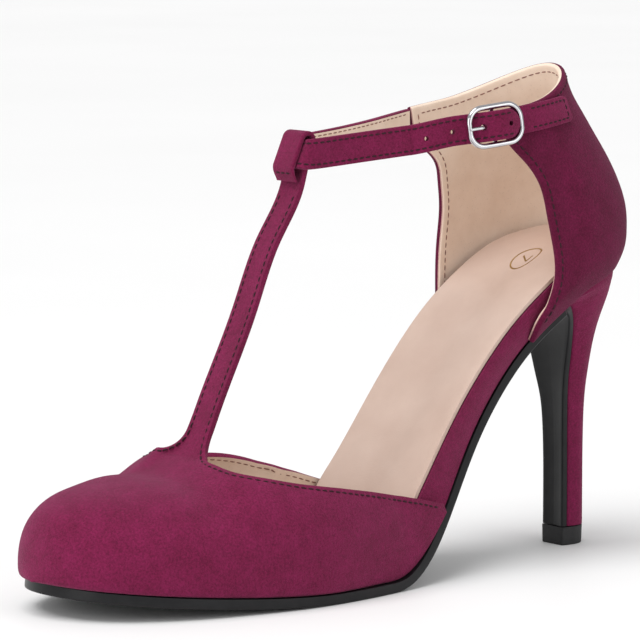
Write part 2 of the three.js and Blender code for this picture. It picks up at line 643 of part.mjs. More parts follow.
// The vamp and its T strap are one sheet of suede, with the strap's folded end joined on
function makeVamp() {
  const points = [vampPoint(0, 0, true)];
  const quads = [];
  const half = [...steps(0, rootPlace, 16), ...steps(rootPlace, 1, 4).slice(1)];
  const columns = [
    { place: 0, inner: false, onFoot: true },
    ...half.map((place) => ({ place, inner: false })),
    ...half.slice(0, -1).reverse().map((place) => ({ place, inner: true })),
    { place: 0, inner: true, onFoot: true },
  ];
  const rows = 15;
  const indexOf = (row, column) => (row === 0 ? 0 : 1 + (row - 1) * columns.length + column);
  for (let row = 1; row <= rows; row += 1) {
    columns.forEach(({ place, inner, onFoot }) => {
      const turn = turnAt(toplineAlong(place)) * row / rows;
      const angle = inner ? 180 - toplineAngle.inner(place) : toplineAngle.outer(place);
      points.push(vampPoint(turn, angle, onFoot));
    });
  }
  for (let row = 0; row < rows; row += 1) {
    for (let column = 0; column + 1 < columns.length; column += 1) {
      const quad = [
        indexOf(row, column), indexOf(row + 1, column),
        indexOf(row + 1, column + 1), indexOf(row, column + 1),
      ];
      quads.push(columns[column].inner ? [...quad.slice(1), quad[0]] : quad);
    }
  }
  const middle = columns.length / 2 - 0.5;
  const root = range(9).map((k) => indexOf(rows, middle - 4 + k));
  const rootPoints = root.map((k) => points[k]);
  const runs = [0.08, 0.2, 0.38, 0.62, 1, 1.5, 2.1].map((share) => share * toplineCorner);
  const length = tStrapEnd - tStrapStart;
  const rest = steps(runs[runs.length - 1], length, 15).slice(1);
  let last = root;
  [...runs, ...rest].forEach((run) => {
    const fade = 1 - smooth(run / (2 * toplineCorner));
    const [y, z] = [tStrapY(tStrapStart + run), tStrapZ(tStrapStart + run)];
    const next = rootPoints.map(([x, rootY, rootZ]) => {
      points.push([
        x / strapRootHalf * tStrapHalf(run),
        y + (rootY - throat[0]) * fade, z + (rootZ - throat[1]) * fade,
      ]);
      return points.length - 1;
    });
    for (let k = 0; k + 1 < next.length; k += 1) {
      quads.push([last[k], next[k], next[k + 1], last[k + 1]]);
    }
    last = next;
  });
  return joined(shell(points, quads, wall), makeFold());
}

// Fold of the T strap: up behind the ankle strap, over it and down in front
function makeFold() {
  const back = bandFace - wall / 2;
  const front = strapThickness / 2 + fitGap + flapThickness / 2;
  const radius = (front - back) / 2;
  const top = ankleStrapWidth / 2;
  const path = [[back, 0.3 * top]];
  steps(0, 180, 8).forEach((angle) => {
    const swing = radians(angle);
    path.push([back + radius * (1 - Math.cos(swing)), top + radius * Math.sin(swing)]);
  });
  path.push([front, 0], [front, -top]);
  flapEnd.drop.forEach((drop, i) => {
    path.push([mix(front, bandFace + flapThickness / 2 - flapSink, flapEnd.inward[i]), -top - drop]);
  });
  const rings = path.map(([out, up], i) => {
    const before = path[Math.max(i - 1, 0)];
    const after = path[Math.min(i + 1, path.length - 1)];
    const centre = loopPoint(out, up);
    const [p, q] = [loopPoint(...before), loopPoint(...after)];
    const length = Math.hypot(q[0] - p[0], q[1] - p[1]);
    const normal = [-(q[1] - p[1]) / length, (q[0] - p[0]) / length];
    const half = tStrapWidth / 2 - tStrapTaper - foldInset;
    return bandRing(centre, normal, half, half, flapThickness, flapThickness / 3);
  });
  return loft(rings);
}

// Heel cup: a wall from the foot line to the collar, which bows out over the heel and is cut back
// at both front edges
const cupTable = table(['rise', 'bow', 'outerCut', 'innerCut'], [
  [0.00, 0.00, 0.00, 0.00], [0.08, 0.38, 0.03, 0.08], [0.16, 0.66, 0.23, 0.18],
  [0.28, 0.96, 0.49, 0.32], [0.41, 1.00, 0.57, 0.46], [0.56, 0.79, 0.58, 0.60],
  [0.68, 0.50, 0.57, 0.60], [0.78, 0.26, 0.33, 0.47], [0.87, 0.05, 0.00, 0.00],
  [1.00, 0.00, 0.00, 0.00],
]);
const cupBowAt = spline(cupTable.rise, cupTable.bow);
const cutAt = {
  outer: spline(cupTable.rise, cupTable.outerCut),
  inner: spline(cupTable.rise, cupTable.innerCut),
};
const cutShare = (sign, rise) => Math.max(cutAt[sideOf(sign)](rise), 0);
const cupFront = {
  outer: { foot: cupFootOuter, wing: wingFrontOuter },
  inner: { foot: cupFootInner, wing: wingFrontInner },
};
function cupPoint(round, rise) {
  const sign = round < 0.5 ? 1 : -1;
  const forward = Math.abs(1 - 2 * round);
  const { foot: footY, wing } = cupFront[sideOf(sign)];
  const turn = mix(1, turnAt(footY / insoleLength), forward);
  const [footX, footPlace] = footLine(turn, sign, 2 * fitGap + cupWall);
  const tucked = sign * (boardWidth(turn, sign) - boardSide(turn, sign, rise / cupTuckRise));
  const foot = over(footPlace, footX - tucked, fitGap);
  const quarter = quarterAt(wing) * forward;
  const [x, y] = ovalPoint(sign * quarter, 0);
  const peak = collarPeak * smooth(1 - quarter / collarSpread);
  const lean = sideLean * ankleStrapWidth / 2 * Math.min(quarter, 1);
  const top = [x - sign * lean, y, strapHeight(x, y) + ankleStrapWidth / 2 + peak];
  const swing = Math.PI / 2 * Math.min(quarter, 1);
  const bow = cupBow * cupBowAt(rise) * mix(sideBow, 1, Math.cos(swing) ** 2);
  const cutBack = cutDepth * cutShare(sign, rise) * smooth((forward - cutStart) / (1 - cutStart));
  return [
    mix(foot[0], top[0], rise) + sign * bow * Math.sin(swing),
    mix(foot[1], top[1], rise) + bow * Math.cos(swing) + cutBack,
    mix(foot[2], top[2], rise),
  ];
}
function makeCounter() {
  const rises = [0, 0.04, 0.08, 0.14, 0.21, 0.29, 0.38, 0.47, 0.56, 0.64, 0.71, 0.78, 0.83, 0.87, 0.93, 1];
  const rounds = steps(0, 1, 34);
  const points = rises.flatMap((rise) => rounds.map((round) => cupPoint(round, rise)));
  const quads = [];
  for (let i = 0; i + 1 < rises.length; i += 1) {
    for (let j = 0; j + 1 < rounds.length; j += 1) {
      const corner = i * rounds.length + j;
      quads.push([corner, corner + 1, corner + rounds.length + 1, corner + rounds.length]);
    }
  }
  return shell(points, quads, cupWall);
}

// Buckle frame of reference: along towards the back, up, and out from the ankle
const buckle = strapFrame(quarterAt(buckleY), 0);
buckle.at.addScaledVector(buckle.up, buckleRise);
const byBuckle = (along, up, out) => new THREE.Vector3().copy(buckle.at)
  .addScaledVector(buckle.along, along).addScaledVector(buckle.up, up)
  .addScaledVector(buckle.out, out).toArray();
const ovalBy = (along) => {
  const from = strapFrame(quarterAt(buckleY + along), 0).at.sub(buckle.at);
  return [from.dot(buckle.along), from.dot(buckle.up), from.dot(buckle.out)];
};
const ovalLevel = (along) => ovalBy(along)[2];
const barReach = (buckleLength - buckleBar) / 2;
const loopOuter = centreBar / 2 + barClearance + tabThickness;
const frameLevel = ovalLevel(barReach) + 2 * fitGap + tabThickness + buckleBar / 2;
const humpLevel = centreLevel + loopOuter + 1.5 * fitGap + strapThickness;
const tipReach = barReach - buckleBar / 2 - fitGap;
const strapShift = (along) => buckleRise * smooth((along / barReach + 3) / 1.8);

// Outer face of the ankle strap near the buckle: under the front bar, over the tab's loop
const strapLevels = table(['along', 'level'], [
  [-3.0 * barReach, ovalLevel(-3.0 * barReach)],
  [-2.0 * barReach, ovalLevel(-2.0 * barReach)],
  [-barReach, frameLevel - buckleBar / 2 - underBar],
  [0, humpLevel],
  [tipReach, ovalLevel(tipReach) + 2 * fitGap + tabThickness + strapThickness],
]);
const strapLevel = spline(strapLevels.along, strapLevels.level);
// Flat band from frames: each ring is a thin oblong with eased edges
function bandSection(centre, up, out, width, thickness) {
  const [w, t] = [width / 2, thickness / 2];
  const ease = Math.min(bandEase, w / 3);
  const section = [
    [-w, -t], [w, -t], [w, t - ease], [w - ease, t], [0, t], [ease - w, t], [-w, t - ease],
  ];
  return section.map(([u, o]) => new THREE.Vector3().copy(centre)
    .addScaledVector(up, u).addScaledVector(out, o).toArray());
}

function makeAnkleStrap() {
  const innerSide = steps(-quarterAt(wingFrontInner) - seamStep, -2, 16);
  const outerSide = steps(2, quarterAt(buckleY - 3 * barReach), 10).slice(1);
  const rings = [...innerSide, ...outerSide].map((quarter) => {
    const { at, up, out } = strapFrame(quarter, -strapThickness / 2);
    return bandSection(at, up, out, ankleStrapWidth, strapThickness);
  });
  const nearBuckle = steps(-3 * barReach, tipReach, 22);
  const middle = nearBuckle.map((along) => {
    const [back, up] = ovalBy(along);
    const level = strapLevel(along) - strapThickness / 2;
    return new THREE.Vector3(...byBuckle(back, up + strapShift(along), level));
  });
  nearBuckle.forEach((along, i) => {
    if (i === 0) return;
    const tangent = middle[Math.min(i + 1, middle.length - 1)].clone().sub(middle[i - 1]).normalize();
    const up = strapFrame(quarterAt(buckleY + along), 0).up.clone();
    up.addScaledVector(tangent, -up.dot(tangent)).normalize();
    const out = new THREE.Vector3().crossVectors(tangent, up);
    const fromTip = clamp((tipReach - along) / tipRound, 0, 1);
    const share = Math.sqrt(1 - (1 - fromTip) ** 2);
    rings.push(bandSection(middle[i], up, out, ankleStrapWidth * Math.max(share, 0.3), strapThickness));
  });
  const holes = range(strapHoles).map((k) => {
    const along = prongHole + (k - strapHoles + 2) * strapHolePitch;
    const wide = k === strapHoles - 2 ? strapHole + prongDiameter / 3 : strapHole;
    return bore(along, strapShift(along) - buckleRise, strapLevel(along) - strapThickness / 2, wide);
  });
  return cut(loft(rings), ...holes);
}

// Cylinder square to the buckle, for a strap hole
function bore(along, up, out, diameter) {
  const hole = new THREE.CylinderGeometry(diameter / 2, diameter / 2, 3 * strapThickness, 14);
  const turned = new THREE.Matrix4().makeBasis(buckle.up, buckle.out, buckle.along);
  hole.applyMatrix4(turned);
  hole.translate(...byBuckle(along, up, out));
  return hole;
}

// Buckle tab: sewn on the outer wing of the heel cup, it runs forward and wraps the centre bar
function onCup(y, z) {
  const rise = 0.9;
  const round = solve(0, 0.5, y, (value) => cupPoint(value, rise)[1]);
  return new THREE.Vector3(...cupPoint(round, solve(0.5, 1, z, (value) => cupPoint(round, value)[2])));
}
function makeTab() {
  const ways = steps(tabEndY - buckleY, loopOuter + tabLead, 14);
  const rings = ways.map((along, i) => {
    const y = buckleY + along;
    const taper = i === 0 ? tabTaper : 1;
    const { at, out } = strapFrame(quarterAt(y), 0);
    const [low, high] = [-1, 1].map((side) => onCup(y, at.z + buckleRise + side * tabWidth / 2 * taper));
    const up = high.clone().sub(low).normalize();
    const centre = low.add(high).multiplyScalar(0.5).addScaledVector(out, fitGap + tabThickness / 2);
    return bandSection(centre, up, out, tabWidth * taper, tabThickness);
  });
  const radius = centreBar / 2 + barClearance + tabThickness / 2;
  const path = [[loopOuter + 1.6, centreLevel + 0.8 * radius], [loopOuter - 0.4, centreLevel + radius]];
  steps(90, 270, 10).forEach((angle) => {
    const swing = radians(angle);
    path.push([radius * Math.cos(swing), centreLevel + radius * Math.sin(swing)]);
  });
  path.push([tabTail / 2, centreLevel - radius], [tabTail, centreLevel - radius]);
  path.forEach(([along, level], i) => {
    const before = path[Math.max(i - 1, 0)];
    const after = path[Math.min(i + 1, path.length - 1)];
    const go = [after[0] - before[0], after[1] - before[1]];
    const length = Math.hypot(...go);
    const out = new THREE.Vector3().addScaledVector(buckle.along, go[1] / length)
      .addScaledVector(buckle.out, -go[0] / length);
    const centre = new THREE.Vector3(...byBuckle(along, 0, level));
    rings.push(bandSection(centre, buckle.up, out, tabWidth, tabThickness));
  });
  const slot = new THREE.BoxGeometry(2 * loopOuter + 1.4, prongDiameter + 2 * fitGap, 2 * loopOuter + 1);
  slot.applyMatrix4(new THREE.Matrix4().makeBasis(buckle.along, buckle.up, buckle.out));
  slot.translate(...byBuckle(0, 0, centreLevel));
  return cut(loft(rings), slot);
}

// Round bar along a flat path; a closed path makes a ring
function roundBar(path, flat, diameter, closed, sides = 10) {
  const spots = path.map((spot) => new THREE.Vector3(...spot));
  const n = spots.length;
  const rings = spots.map((spot, i) => {
    const before = spots[closed ? (i + n - 1) % n : Math.max(i - 1, 0)];
    const after = spots[closed ? (i + 1) % n : Math.min(i + 1, n - 1)];
    const side = after.clone().sub(before).normalize().cross(flat);
    return range(sides).map((k) => {
      const swing = 2 * Math.PI * k / sides;
      return spot.clone().addScaledVector(side, diameter / 2 * Math.cos(swing))
        .addScaledVector(flat, diameter / 2 * Math.sin(swing)).toArray();
    });
  });
  if (!closed) return loft(rings);
  const index = [];
  for (let i = 0; i < n; i += 1) {
    for (let k = 0; k < sides; k += 1) {
      const [a, b] = [i * sides + k, i * sides + (k + 1) % sides];
      const [c, d] = [((i + 1) % n) * sides + k, ((i + 1) % n) * sides + (k + 1) % sides];
      index.push(a, b, d, a, d, c);
    }
  }
  return facingOut(rings.flat(), index);
}

function makeFrame() {
  const high = (buckleHeight - buckleBar) / 2;
  const corners = [[1, 1, 0], [-1, 1, 90], [-1, -1, 180], [1, -1, 270]];
  const path = corners.flatMap(([a, b, from]) => steps(from, from + 90, 6).map((angle) => {
    const swing = radians(angle);
    const along = a * (barReach - buckleCorner) + buckleCorner * Math.cos(swing);
    return byBuckle(along, b * (high - buckleCorner) + buckleCorner * Math.sin(swing), frameLevel);
  }));
  const half = [[high, frameLevel], [0.97 * high, mix(frameLevel, centreLevel, 0.6)]];
  const flat = tabWidth / 2 + fitGap;
  const bar = [...half, [flat, centreLevel], [-flat, centreLevel],
    ...half.map(([up, out]) => [-up, out]).reverse()];
  return joined(
    roundBar(path, buckle.out, buckleBar, true),
    roundBar(bar.map(([up, out]) => byBuckle(0, up, out)), buckle.along, centreBar, false),
  );
}

// The prong is one bent wire: round the centre bar, forward under the strap, up through the hole and
// over the front bar. Its stem is given by steps along the strap and out from it.
function makeProng() {
  const radius = centreBar / 2 + barClearance + prongDiameter / 2;
  const eye = steps(210, 450, 14).map((angle) => {
    const swing = radians(angle);
    return [radius * Math.cos(swing), centreLevel + radius * Math.sin(swing)];
  });
  const rest = frameLevel + (buckleBar + prongDiameter) / 2 + fitGap;
  const stem = [
    [-1.2, centreLevel + 1], [-2.2, centreLevel + 0.3], [prongHole + 1.1, centreLevel],
    [prongHole + 0.4, centreLevel + 0.4], [prongHole, mix(centreLevel, rest, 0.45)],
    [prongHole - 0.15, mix(centreLevel, rest, 0.8)], [prongHole - 0.9, rest + 0.1],
    [mix(prongHole, -barReach, 0.6), rest + 0.15], [-barReach, rest], [-barReach - 0.9, rest - 0.15],
  ];
  const path = [...eye, ...stem].map(([along, out]) => byBuckle(along, 0, out));
  return roundBar(path, buckle.up, prongDiameter, false, 8);
}

// Finishes and the named pieces
const suede = { color: 0x6e1c43, roughness: 0.95, metalness: 0 };
const finishes = {
  outsole: { color: 0x16161a, roughness: 0.5, metalness: 0 },
  heel_top_piece: { color: 0x121214, roughness: 0.7, metalness: 0 },
  sock: { color: 0xdcbfae, roughness: 0.6, metalness: 0 },
  buckle_frame: { color: 0xd8dade, roughness: 0.12, metalness: 1 },
  buckle_prong: { color: 0xd8dade, roughness: 0.15, metalness: 1 },
};
const makers = {
  outsole: makeOutsole,
  heel_top_piece: makeTopPiece,
  heel: makeHeel,
  insole_board: makeBoard,
  sock: makeSock,
  vamp: makeVamp,
  counter: makeCounter,
  ankle_strap: makeAnkleStrap,
  buckle_tab: makeTab,
  buckle_frame: makeFrame,
  buckle_prong: makeProng,
};
const shoe = new THREE.Group();
Object.entries(makers).forEach(([name, make]) => {
  const piece = new THREE.Mesh(make(), new THREE.MeshStandardMaterial(finishes[name] ?? suede));
  piece.name = name;
  shoe.add(piece);
});

// The part's origin lies under the middle of its box, on the floor
const box = new THREE.Box3().setFromObject(shoe);
const middle = box.getCenter(new THREE.Vector3());
shoe.position.set(-middle.x, -middle.y, 0);
shoe.updateMatrixWorld(true);

export default shoe;
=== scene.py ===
import math

import bmesh
import bpy
import numpy as np
from mathutils import Matrix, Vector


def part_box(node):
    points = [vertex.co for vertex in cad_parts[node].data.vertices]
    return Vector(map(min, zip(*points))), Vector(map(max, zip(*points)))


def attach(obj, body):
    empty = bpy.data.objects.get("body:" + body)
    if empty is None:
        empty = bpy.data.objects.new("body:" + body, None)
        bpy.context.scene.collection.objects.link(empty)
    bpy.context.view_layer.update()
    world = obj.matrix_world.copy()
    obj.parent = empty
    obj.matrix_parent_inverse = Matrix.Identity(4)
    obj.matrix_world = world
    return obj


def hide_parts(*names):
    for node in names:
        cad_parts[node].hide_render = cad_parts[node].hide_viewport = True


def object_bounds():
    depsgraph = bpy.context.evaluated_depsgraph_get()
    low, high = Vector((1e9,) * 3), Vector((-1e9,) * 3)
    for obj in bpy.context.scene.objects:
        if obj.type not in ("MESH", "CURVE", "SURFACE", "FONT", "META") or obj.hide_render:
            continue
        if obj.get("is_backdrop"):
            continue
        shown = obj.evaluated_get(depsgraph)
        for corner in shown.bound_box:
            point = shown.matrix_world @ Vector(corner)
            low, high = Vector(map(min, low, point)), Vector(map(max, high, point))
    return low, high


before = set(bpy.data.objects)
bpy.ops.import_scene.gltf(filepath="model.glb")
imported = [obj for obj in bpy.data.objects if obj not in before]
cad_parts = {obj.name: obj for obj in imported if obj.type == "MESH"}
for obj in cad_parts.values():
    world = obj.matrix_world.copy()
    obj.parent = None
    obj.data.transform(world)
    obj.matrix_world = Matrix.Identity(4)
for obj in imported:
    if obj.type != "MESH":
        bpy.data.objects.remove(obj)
cad_box = [list(corner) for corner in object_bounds()]

# %% [markdown]
# # A suede T strap shoe, piece by piece
# A shoemaker builds this shoe round a wooden last: an insole board at the bottom, a toe and a heel cup
# of lined suede pulled over it, a thin black sole, and a tall heel covered in the same suede.
# Here each piece is a surface worked out with numpy from the same sizes as the solid model, but on a
# much finer grid, so that light runs over it without facets. The grids are drawn in millimetres, in the
# maker's own frame: Y runs back from the toe tip, Z up from the floor, and X = 0 is the shoe's axis.

# %% Sizes of the last, the sole and the heel, in millimetres
insole_length = 208.5
ball_width = 76.0
heel_seat_height = 87.3
toe_spring = 6.5
spring_power = 1.45
vamp_height = 39.0
wall = 1.6
cup_wall = 2.2
vamp_lean = 0.4
foot_tuck = 1.7
fit_gap = 0.3
sole_thickness = 3.0
sole_edge = 0.6
board_thickness = 10.2
fore_board_thickness = 3.0
keel_inset = 0.6
trough = 1.0
sock_thickness = 1.4
sock_inset = 0.6
sock_dip = 0.7
sock_dip_width = 0.3
sock_round = 0.35
heel_tip_width = 9.4
heel_tip_depth = 10.6
heel_top_half = 18.6
seat_overhang = 2.3
top_piece_thickness = 5.6
top_piece_flare = 0.15
tongue_thickness = 1.7
tongue_top = 0.95
tongue_hollow = 0.55
turn_lead = 3.0

# %% Sizes of the straps, the cup and the buckle, in millimetres
topline_corner = 8.0
t_strap_width = 10.2
t_strap_taper = 0.45
flap_thickness = 1.4
throat_lead = 0.035
entry_dip = -1.0
entry_drop = 9.7
fold_inset = 0.1
flap_sink = 0.35
ankle_half = 20.3
ankle_round = 26.4
ankle_reach = 74.0
front_blunt = 0.16
ankle_middle = insole_length - 19.4 - ankle_round
ankle_strap_width = 8.8
strap_thickness = 1.8
strap_rise = 37.9
strap_climb = 0.067
strap_bend = 0.0004
strap_tilt = 0.01
front_lean = math.radians(24)
lean_length = 30.0
side_lean = 0.074
seam_step = 0.006
collar_peak = 7.2
collar_spread = 1.05
cup_bow = 7.4
side_bow = 0.4
cut_depth = 15.5
cut_start = 0.6
cup_tuck_rise = 0.16
cup_foot = {1: 0.7914 * insole_length, -1: 0.7866 * insole_length}
wing_front = {1: insole_length - 54.7, -1: insole_length - 61}
buckle_y = insole_length - 59.3
buckle_rise = 0.9
buckle_length = 19.0
buckle_height = 13.0
buckle_bar = 1.7
buckle_corner = 4.4
centre_bar = 1.4
centre_level = 0.2
bar_clearance = 0.2
under_bar = 0.95
prong_diameter = 1.0
prong_hole = -4.3
tab_width = 8.2
tab_thickness = 0.9
tab_lead = 4.2
tab_end_y = insole_length - 29.5
tab_tail = 3.3
tip_round = 4.4
strap_hole = 1.5
hole_pitch = 8.5

# %% [markdown]
# ## Curves through a few measured places
# A last is drawn from a handful of stations. A cubic spline joins them with no kink: between two
# stations the curve is a cubic, and its slope and its bend carry on across each station.

# %% Helpers for curves
def spline(xs, ys, level_start=False):
    """Cubic spline through (xs, ys). Its bend is zero at both ends, or its slope is zero at the start."""
    xs, ys = np.asarray(xs, float), np.asarray(ys, float)
    width = np.diff(xs)
    slope = np.diff(ys) / width
    inner = np.arange(1, len(xs) - 1)
    system, wanted = np.eye(len(xs)), np.zeros(len(xs))
    system[inner, inner - 1] = width[:-1]
    system[inner, inner] = 2 * (width[:-1] + width[1:])
    system[inner, inner + 1] = width[1:]
    wanted[inner] = 6 * np.diff(slope)
    if level_start:
        system[0, :2] = 2 * width[0], width[0]
        wanted[0] = 6 * slope[0]
    bend = np.linalg.solve(system, wanted)

    def value(x):
        x = np.asarray(x, float)
        i = np.clip(np.searchsorted(xs, x) - 1, 0, len(xs) - 2)
        s, t = (xs[i + 1] - x) / width[i], (x - xs[i]) / width[i]
        lift = (s**3 - s) * bend[i] + (t**3 - t) * bend[i + 1]
        return s * ys[i] + t * ys[i + 1] + lift * width[i] ** 2 / 6

    return value


def splines(table, place=np.asarray):
    """A spline for each column of a table, over its first column or a place worked out from it."""
    return [spline(place(table[:, 0]), column) for column in table[:, 1:].T]


def mix(a, b, t):
    return a + (b - a) * t


def smooth(t):
    t = np.clip(t, 0, 1)
    return t * t * (3 - 2 * t)


def unit(v):
    return v / np.linalg.norm(v, axis=-1, keepdims=True)


def square_to(v, go):
    """The part of v that is square to the unit vector go, made a unit vector too."""
    return unit(v - go * np.sum(v * go, axis=-1, keepdims=True))


def reach_along(points):
    """Length of a line of points, from the first point to each of them."""
    return np.concatenate([[0], np.cumsum(np.linalg.norm(np.diff(points, axis=0), axis=1))])


def points_of(*coordinates):
    """Stacks X, Y and Z, each a number or an array, into one array of points."""
    return np.stack(np.broadcast_arrays(*coordinates), axis=-1)


# %% [markdown]
# ## The last's bottom line and outline
# The tread is flat under the ball of the foot. Ahead of it the toe springs up, and behind it the waist
# climbs to the heel seat. The outline is a half width for each side against a turn that runs from 0 at
# the toe tip to 1 at the heel and slows at both ends, which closes the outline in a round toe and heel.

# %% Bottom line
tread_start = 0.367 * insole_length
tread_end = 0.461 * insole_length
waist_rise = spline(
    [0.461, 0.503, 0.544, 0.599, 0.658, 0.716, 0.783, 0.854, 0.892, 0.936, 1.0],
    [0.0, 0.008, 0.065, 0.202, 0.376, 0.551, 0.734, 0.870, 0.925, 0.960, 1.0],
    level_start=True,
)


def bottom_height(y):
    """Sole thickness, plus a power curve ahead of the tread and the waist's spline behind it."""
    y = np.asarray(y, float)
    spring = toe_spring * np.clip((tread_start - y) / tread_start, 0, None) ** spring_power
    climb = np.where(y > tread_end, waist_rise(y / insole_length), 0)
    return sole_thickness + spring + (heel_seat_height - sole_thickness) * climb


def bottom_slope(y, step=0.01):
    return np.arctan2(bottom_height(y + step) - bottom_height(y - step), 2 * step)


def over(y, x, h, lean=1.0):
    """A point at height h over the bottom line, square to it or with a share of its lean."""
    slope = lean * bottom_slope(y)
    return points_of(x, y - h * np.sin(slope), bottom_height(y) + h * np.cos(slope))


# %% Outline
def turn_at(along):
    return np.arccos(1 - 2 * np.clip(along, 0, 1)) / np.pi


def along_at(turn):
    return (1 - np.cos(np.pi * turn)) / 2


# Each half width is a share of the ball's width, at a place along the insole
outline = np.array([
    # along, sole outer, sole inner, board outer, board inner
    [0.000, 0.000, 0.000, 0.000, 0.000], [0.028, 0.235, 0.215, 0.198, 0.180],
    [0.074, 0.337, 0.310, 0.300, 0.273], [0.148, 0.425, 0.400, 0.386, 0.363],
    [0.230, 0.475, 0.458, 0.437, 0.420], [0.294, 0.498, 0.488, 0.459, 0.449],
    [0.381, 0.495, 0.465, 0.455, 0.425], [0.466, 0.461, 0.395, 0.412, 0.345],
    [0.566, 0.388, 0.275, 0.360, 0.258], [0.684, 0.255, 0.205, 0.285, 0.268],
    [0.805, 0.245, 0.230, 0.290, 0.273], [0.898, 0.255, 0.240, 0.281, 0.258],
    [0.959, 0.184, 0.176, 0.207, 0.196], [1.000, 0.000, 0.000, 0.000, 0.000],
])
sole_outer, sole_inner, board_outer, board_inner = splines(outline, turn_at)


def sole_width(turn, sign):
    return ball_width * np.where(np.asarray(sign) > 0, sole_outer(turn), sole_inner(turn))


def board_width(turn, sign):
    return ball_width * np.where(np.asarray(sign) > 0, board_outer(turn), board_inner(turn))


def board_depth(y):
    """Thin under the ball, then two smooth steps up to the full board at the waist."""
    places, shares = np.array([0.42, 0.5, 0.6]), np.array([0, 0.25, 1])
    along = np.clip(y / insole_length, places[0], places[-1])
    i = np.clip(np.searchsorted(places, along) - 1, 0, 1)
    t = smooth((along - places[i]) / (places[i + 1] - places[i]))
    return mix(fore_board_thickness, board_thickness, mix(shares[i], shares[i + 1], t))


def board_side(turn, sign, share):
    """Half width up the board's side: a quarter of a sine from the keel out to the rim."""
    top = board_width(turn, sign)
    keel = np.clip(sole_width(turn, sign) - keel_inset, 0, top)
    return mix(keel, top, np.sin(np.pi / 2 * np.clip(share, 0, 1)))


def foot_line(turn, sign, step):
    """The board's outline moved outwards by a step, square to the outline."""
    d = 0.002
    low = np.clip(turn, d, 1 - d)
    dx = board_width(low + d, sign) - board_width(low - d, sign)
    dy = insole_length * (along_at(low + d) - along_at(low - d))
    length = np.hypot(dx, dy)
    x = sign * (board_width(turn, sign) + step * dy / length)
    return x, insole_length * along_at(turn) - step * dx / length


ball_turn = turn_at(0.294)
ball = float(sole_width(ball_turn, 1) + sole_width(ball_turn, -1))
print("ball of the foot", round(ball, 1), "mm wide")

# %% [markdown]
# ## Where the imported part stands
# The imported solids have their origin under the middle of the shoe. The heel's top piece is the same on
# both sides of the shoe's axis, and its back is the last point that touches the floor, so its box says
# how far the maker's frame has to move to lie in the part's frame.

# %% Maker's frame to part frame
stem_lead = 7.5
stem_back = insole_length - stem_lead
stem_front = stem_back - heel_tip_depth
tip_low, tip_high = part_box("heel_top_piece")
tip_middle = (tip_low.x + tip_high.x) / 2
shift = np.array([tip_middle * 1000, tip_high.y * 1000 - stem_back - top_piece_flare, 0])


def to_frame(points):
    """Millimetres in the maker's frame to metres in the part's frame."""
    return (np.asarray(points, float).reshape(-1, 3) + shift) / 1000


print("shift", shift.round(3).tolist(), "mm")

# %% [markdown]
# ## From a grid of points to a mesh
# Every surface below is a grid: rows along the piece, columns across it. A closed piece joins its last
# column to its first and gets a flat cap at each end. Points that fall on each other, at a pole or
# where two grids meet, are merged, so seams are closed.

# %% Mesh helpers
merge_reach = 1e-6
eased_edge = 0.25


def grid_faces(rows, columns, wrap=False, start=0):
    """Quads between neighbouring points of a grid, as four vertex numbers each."""
    index = start + np.arange(rows * columns).reshape(rows, columns)
    if wrap:
        index = np.concatenate([index, index[:, :1]], axis=1)
    return np.stack([index[:-1, :-1], index[1:, :-1], index[1:, 1:], index[:-1, 1:]], axis=-1).reshape(-1, 4)


def link(name, data):
    """New object for a mesh, light or camera, put in the scene."""
    thing = bpy.data.objects.new(name, data)
    bpy.context.scene.collection.objects.link(thing)
    return thing


def stand(x_way, y_way, z_way, place):
    """Matrix that gives an object's own X, Y and Z three directions, and its origin a place in metres."""
    matrix = Matrix(np.column_stack([x_way, y_way, z_way]).tolist()).to_4x4()
    matrix.translation = np.asarray(place, float).tolist()
    return matrix


def facing(mesh):
    """Sum of area times normal times the way from the middle. It is above zero when faces look outwards."""
    count = len(mesh.polygons)
    centres, normals, areas = (np.empty(count * k, np.float32) for k in (3, 3, 1))
    mesh.polygons.foreach_get("center", centres)
    mesh.polygons.foreach_get("normal", normals)
    mesh.polygons.foreach_get("area", areas)
    centres, normals = centres.reshape(-1, 3), normals.reshape(-1, 3)
    return float(np.sum(areas * np.sum(normals * (centres - centres.mean(axis=0)), axis=1)))


def make_piece(name, points, faces, materials, slot, *replaced, kinds=None, closed=True, sharp=40):
    """Mesh object from points in the maker's frame. Kinds gives each face's material number."""
    mesh = bpy.data.meshes.new(name)
    faces = faces.tolist() if isinstance(faces, np.ndarray) else faces
    mesh.from_pydata(to_frame(points).tolist(), [], faces)
    if kinds is not None:
        mesh.polygons.foreach_set("material_index", np.asarray(kinds, np.int32))
    mesh.polygons.foreach_set("use_smooth", np.ones(len(faces), bool))
    work = bmesh.new()
    work.from_mesh(mesh)
    bmesh.ops.remove_doubles(work, verts=work.verts, dist=merge_reach)
    bmesh.ops.recalc_face_normals(work, faces=work.faces)
    work.to_mesh(mesh)
    work.free()
    if not closed and facing(mesh) < 0:
        mesh.flip_normals()
    mesh.set_sharp_from_angle(angle=math.radians(sharp))
    piece = link(name, mesh)
    for material in materials:
        mesh.materials.append(material)
    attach(piece, "root")
    if replaced:
        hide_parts(*replaced)
    print(name, len(mesh.polygons), "faces")
    return piece


def make_loft(name, rings, materials, slot, *replaced, kinds=None, sharp=40):
    """Closed piece through rings of points, rows by columns, with a cap at each end."""
    rows, columns = rings.shape[:2]
    faces = grid_faces(rows, columns, wrap=True).tolist()
    faces += [list(range(columns)), list(range((rows - 1) * columns, rows * columns))]
    if kinds is not None:
        kinds = np.concatenate([np.tile(kinds, rows - 1), [kinds[0], kinds[0]]])
    return make_piece(name, rings, faces, materials, slot, *replaced, kinds=kinds, sharp=sharp)


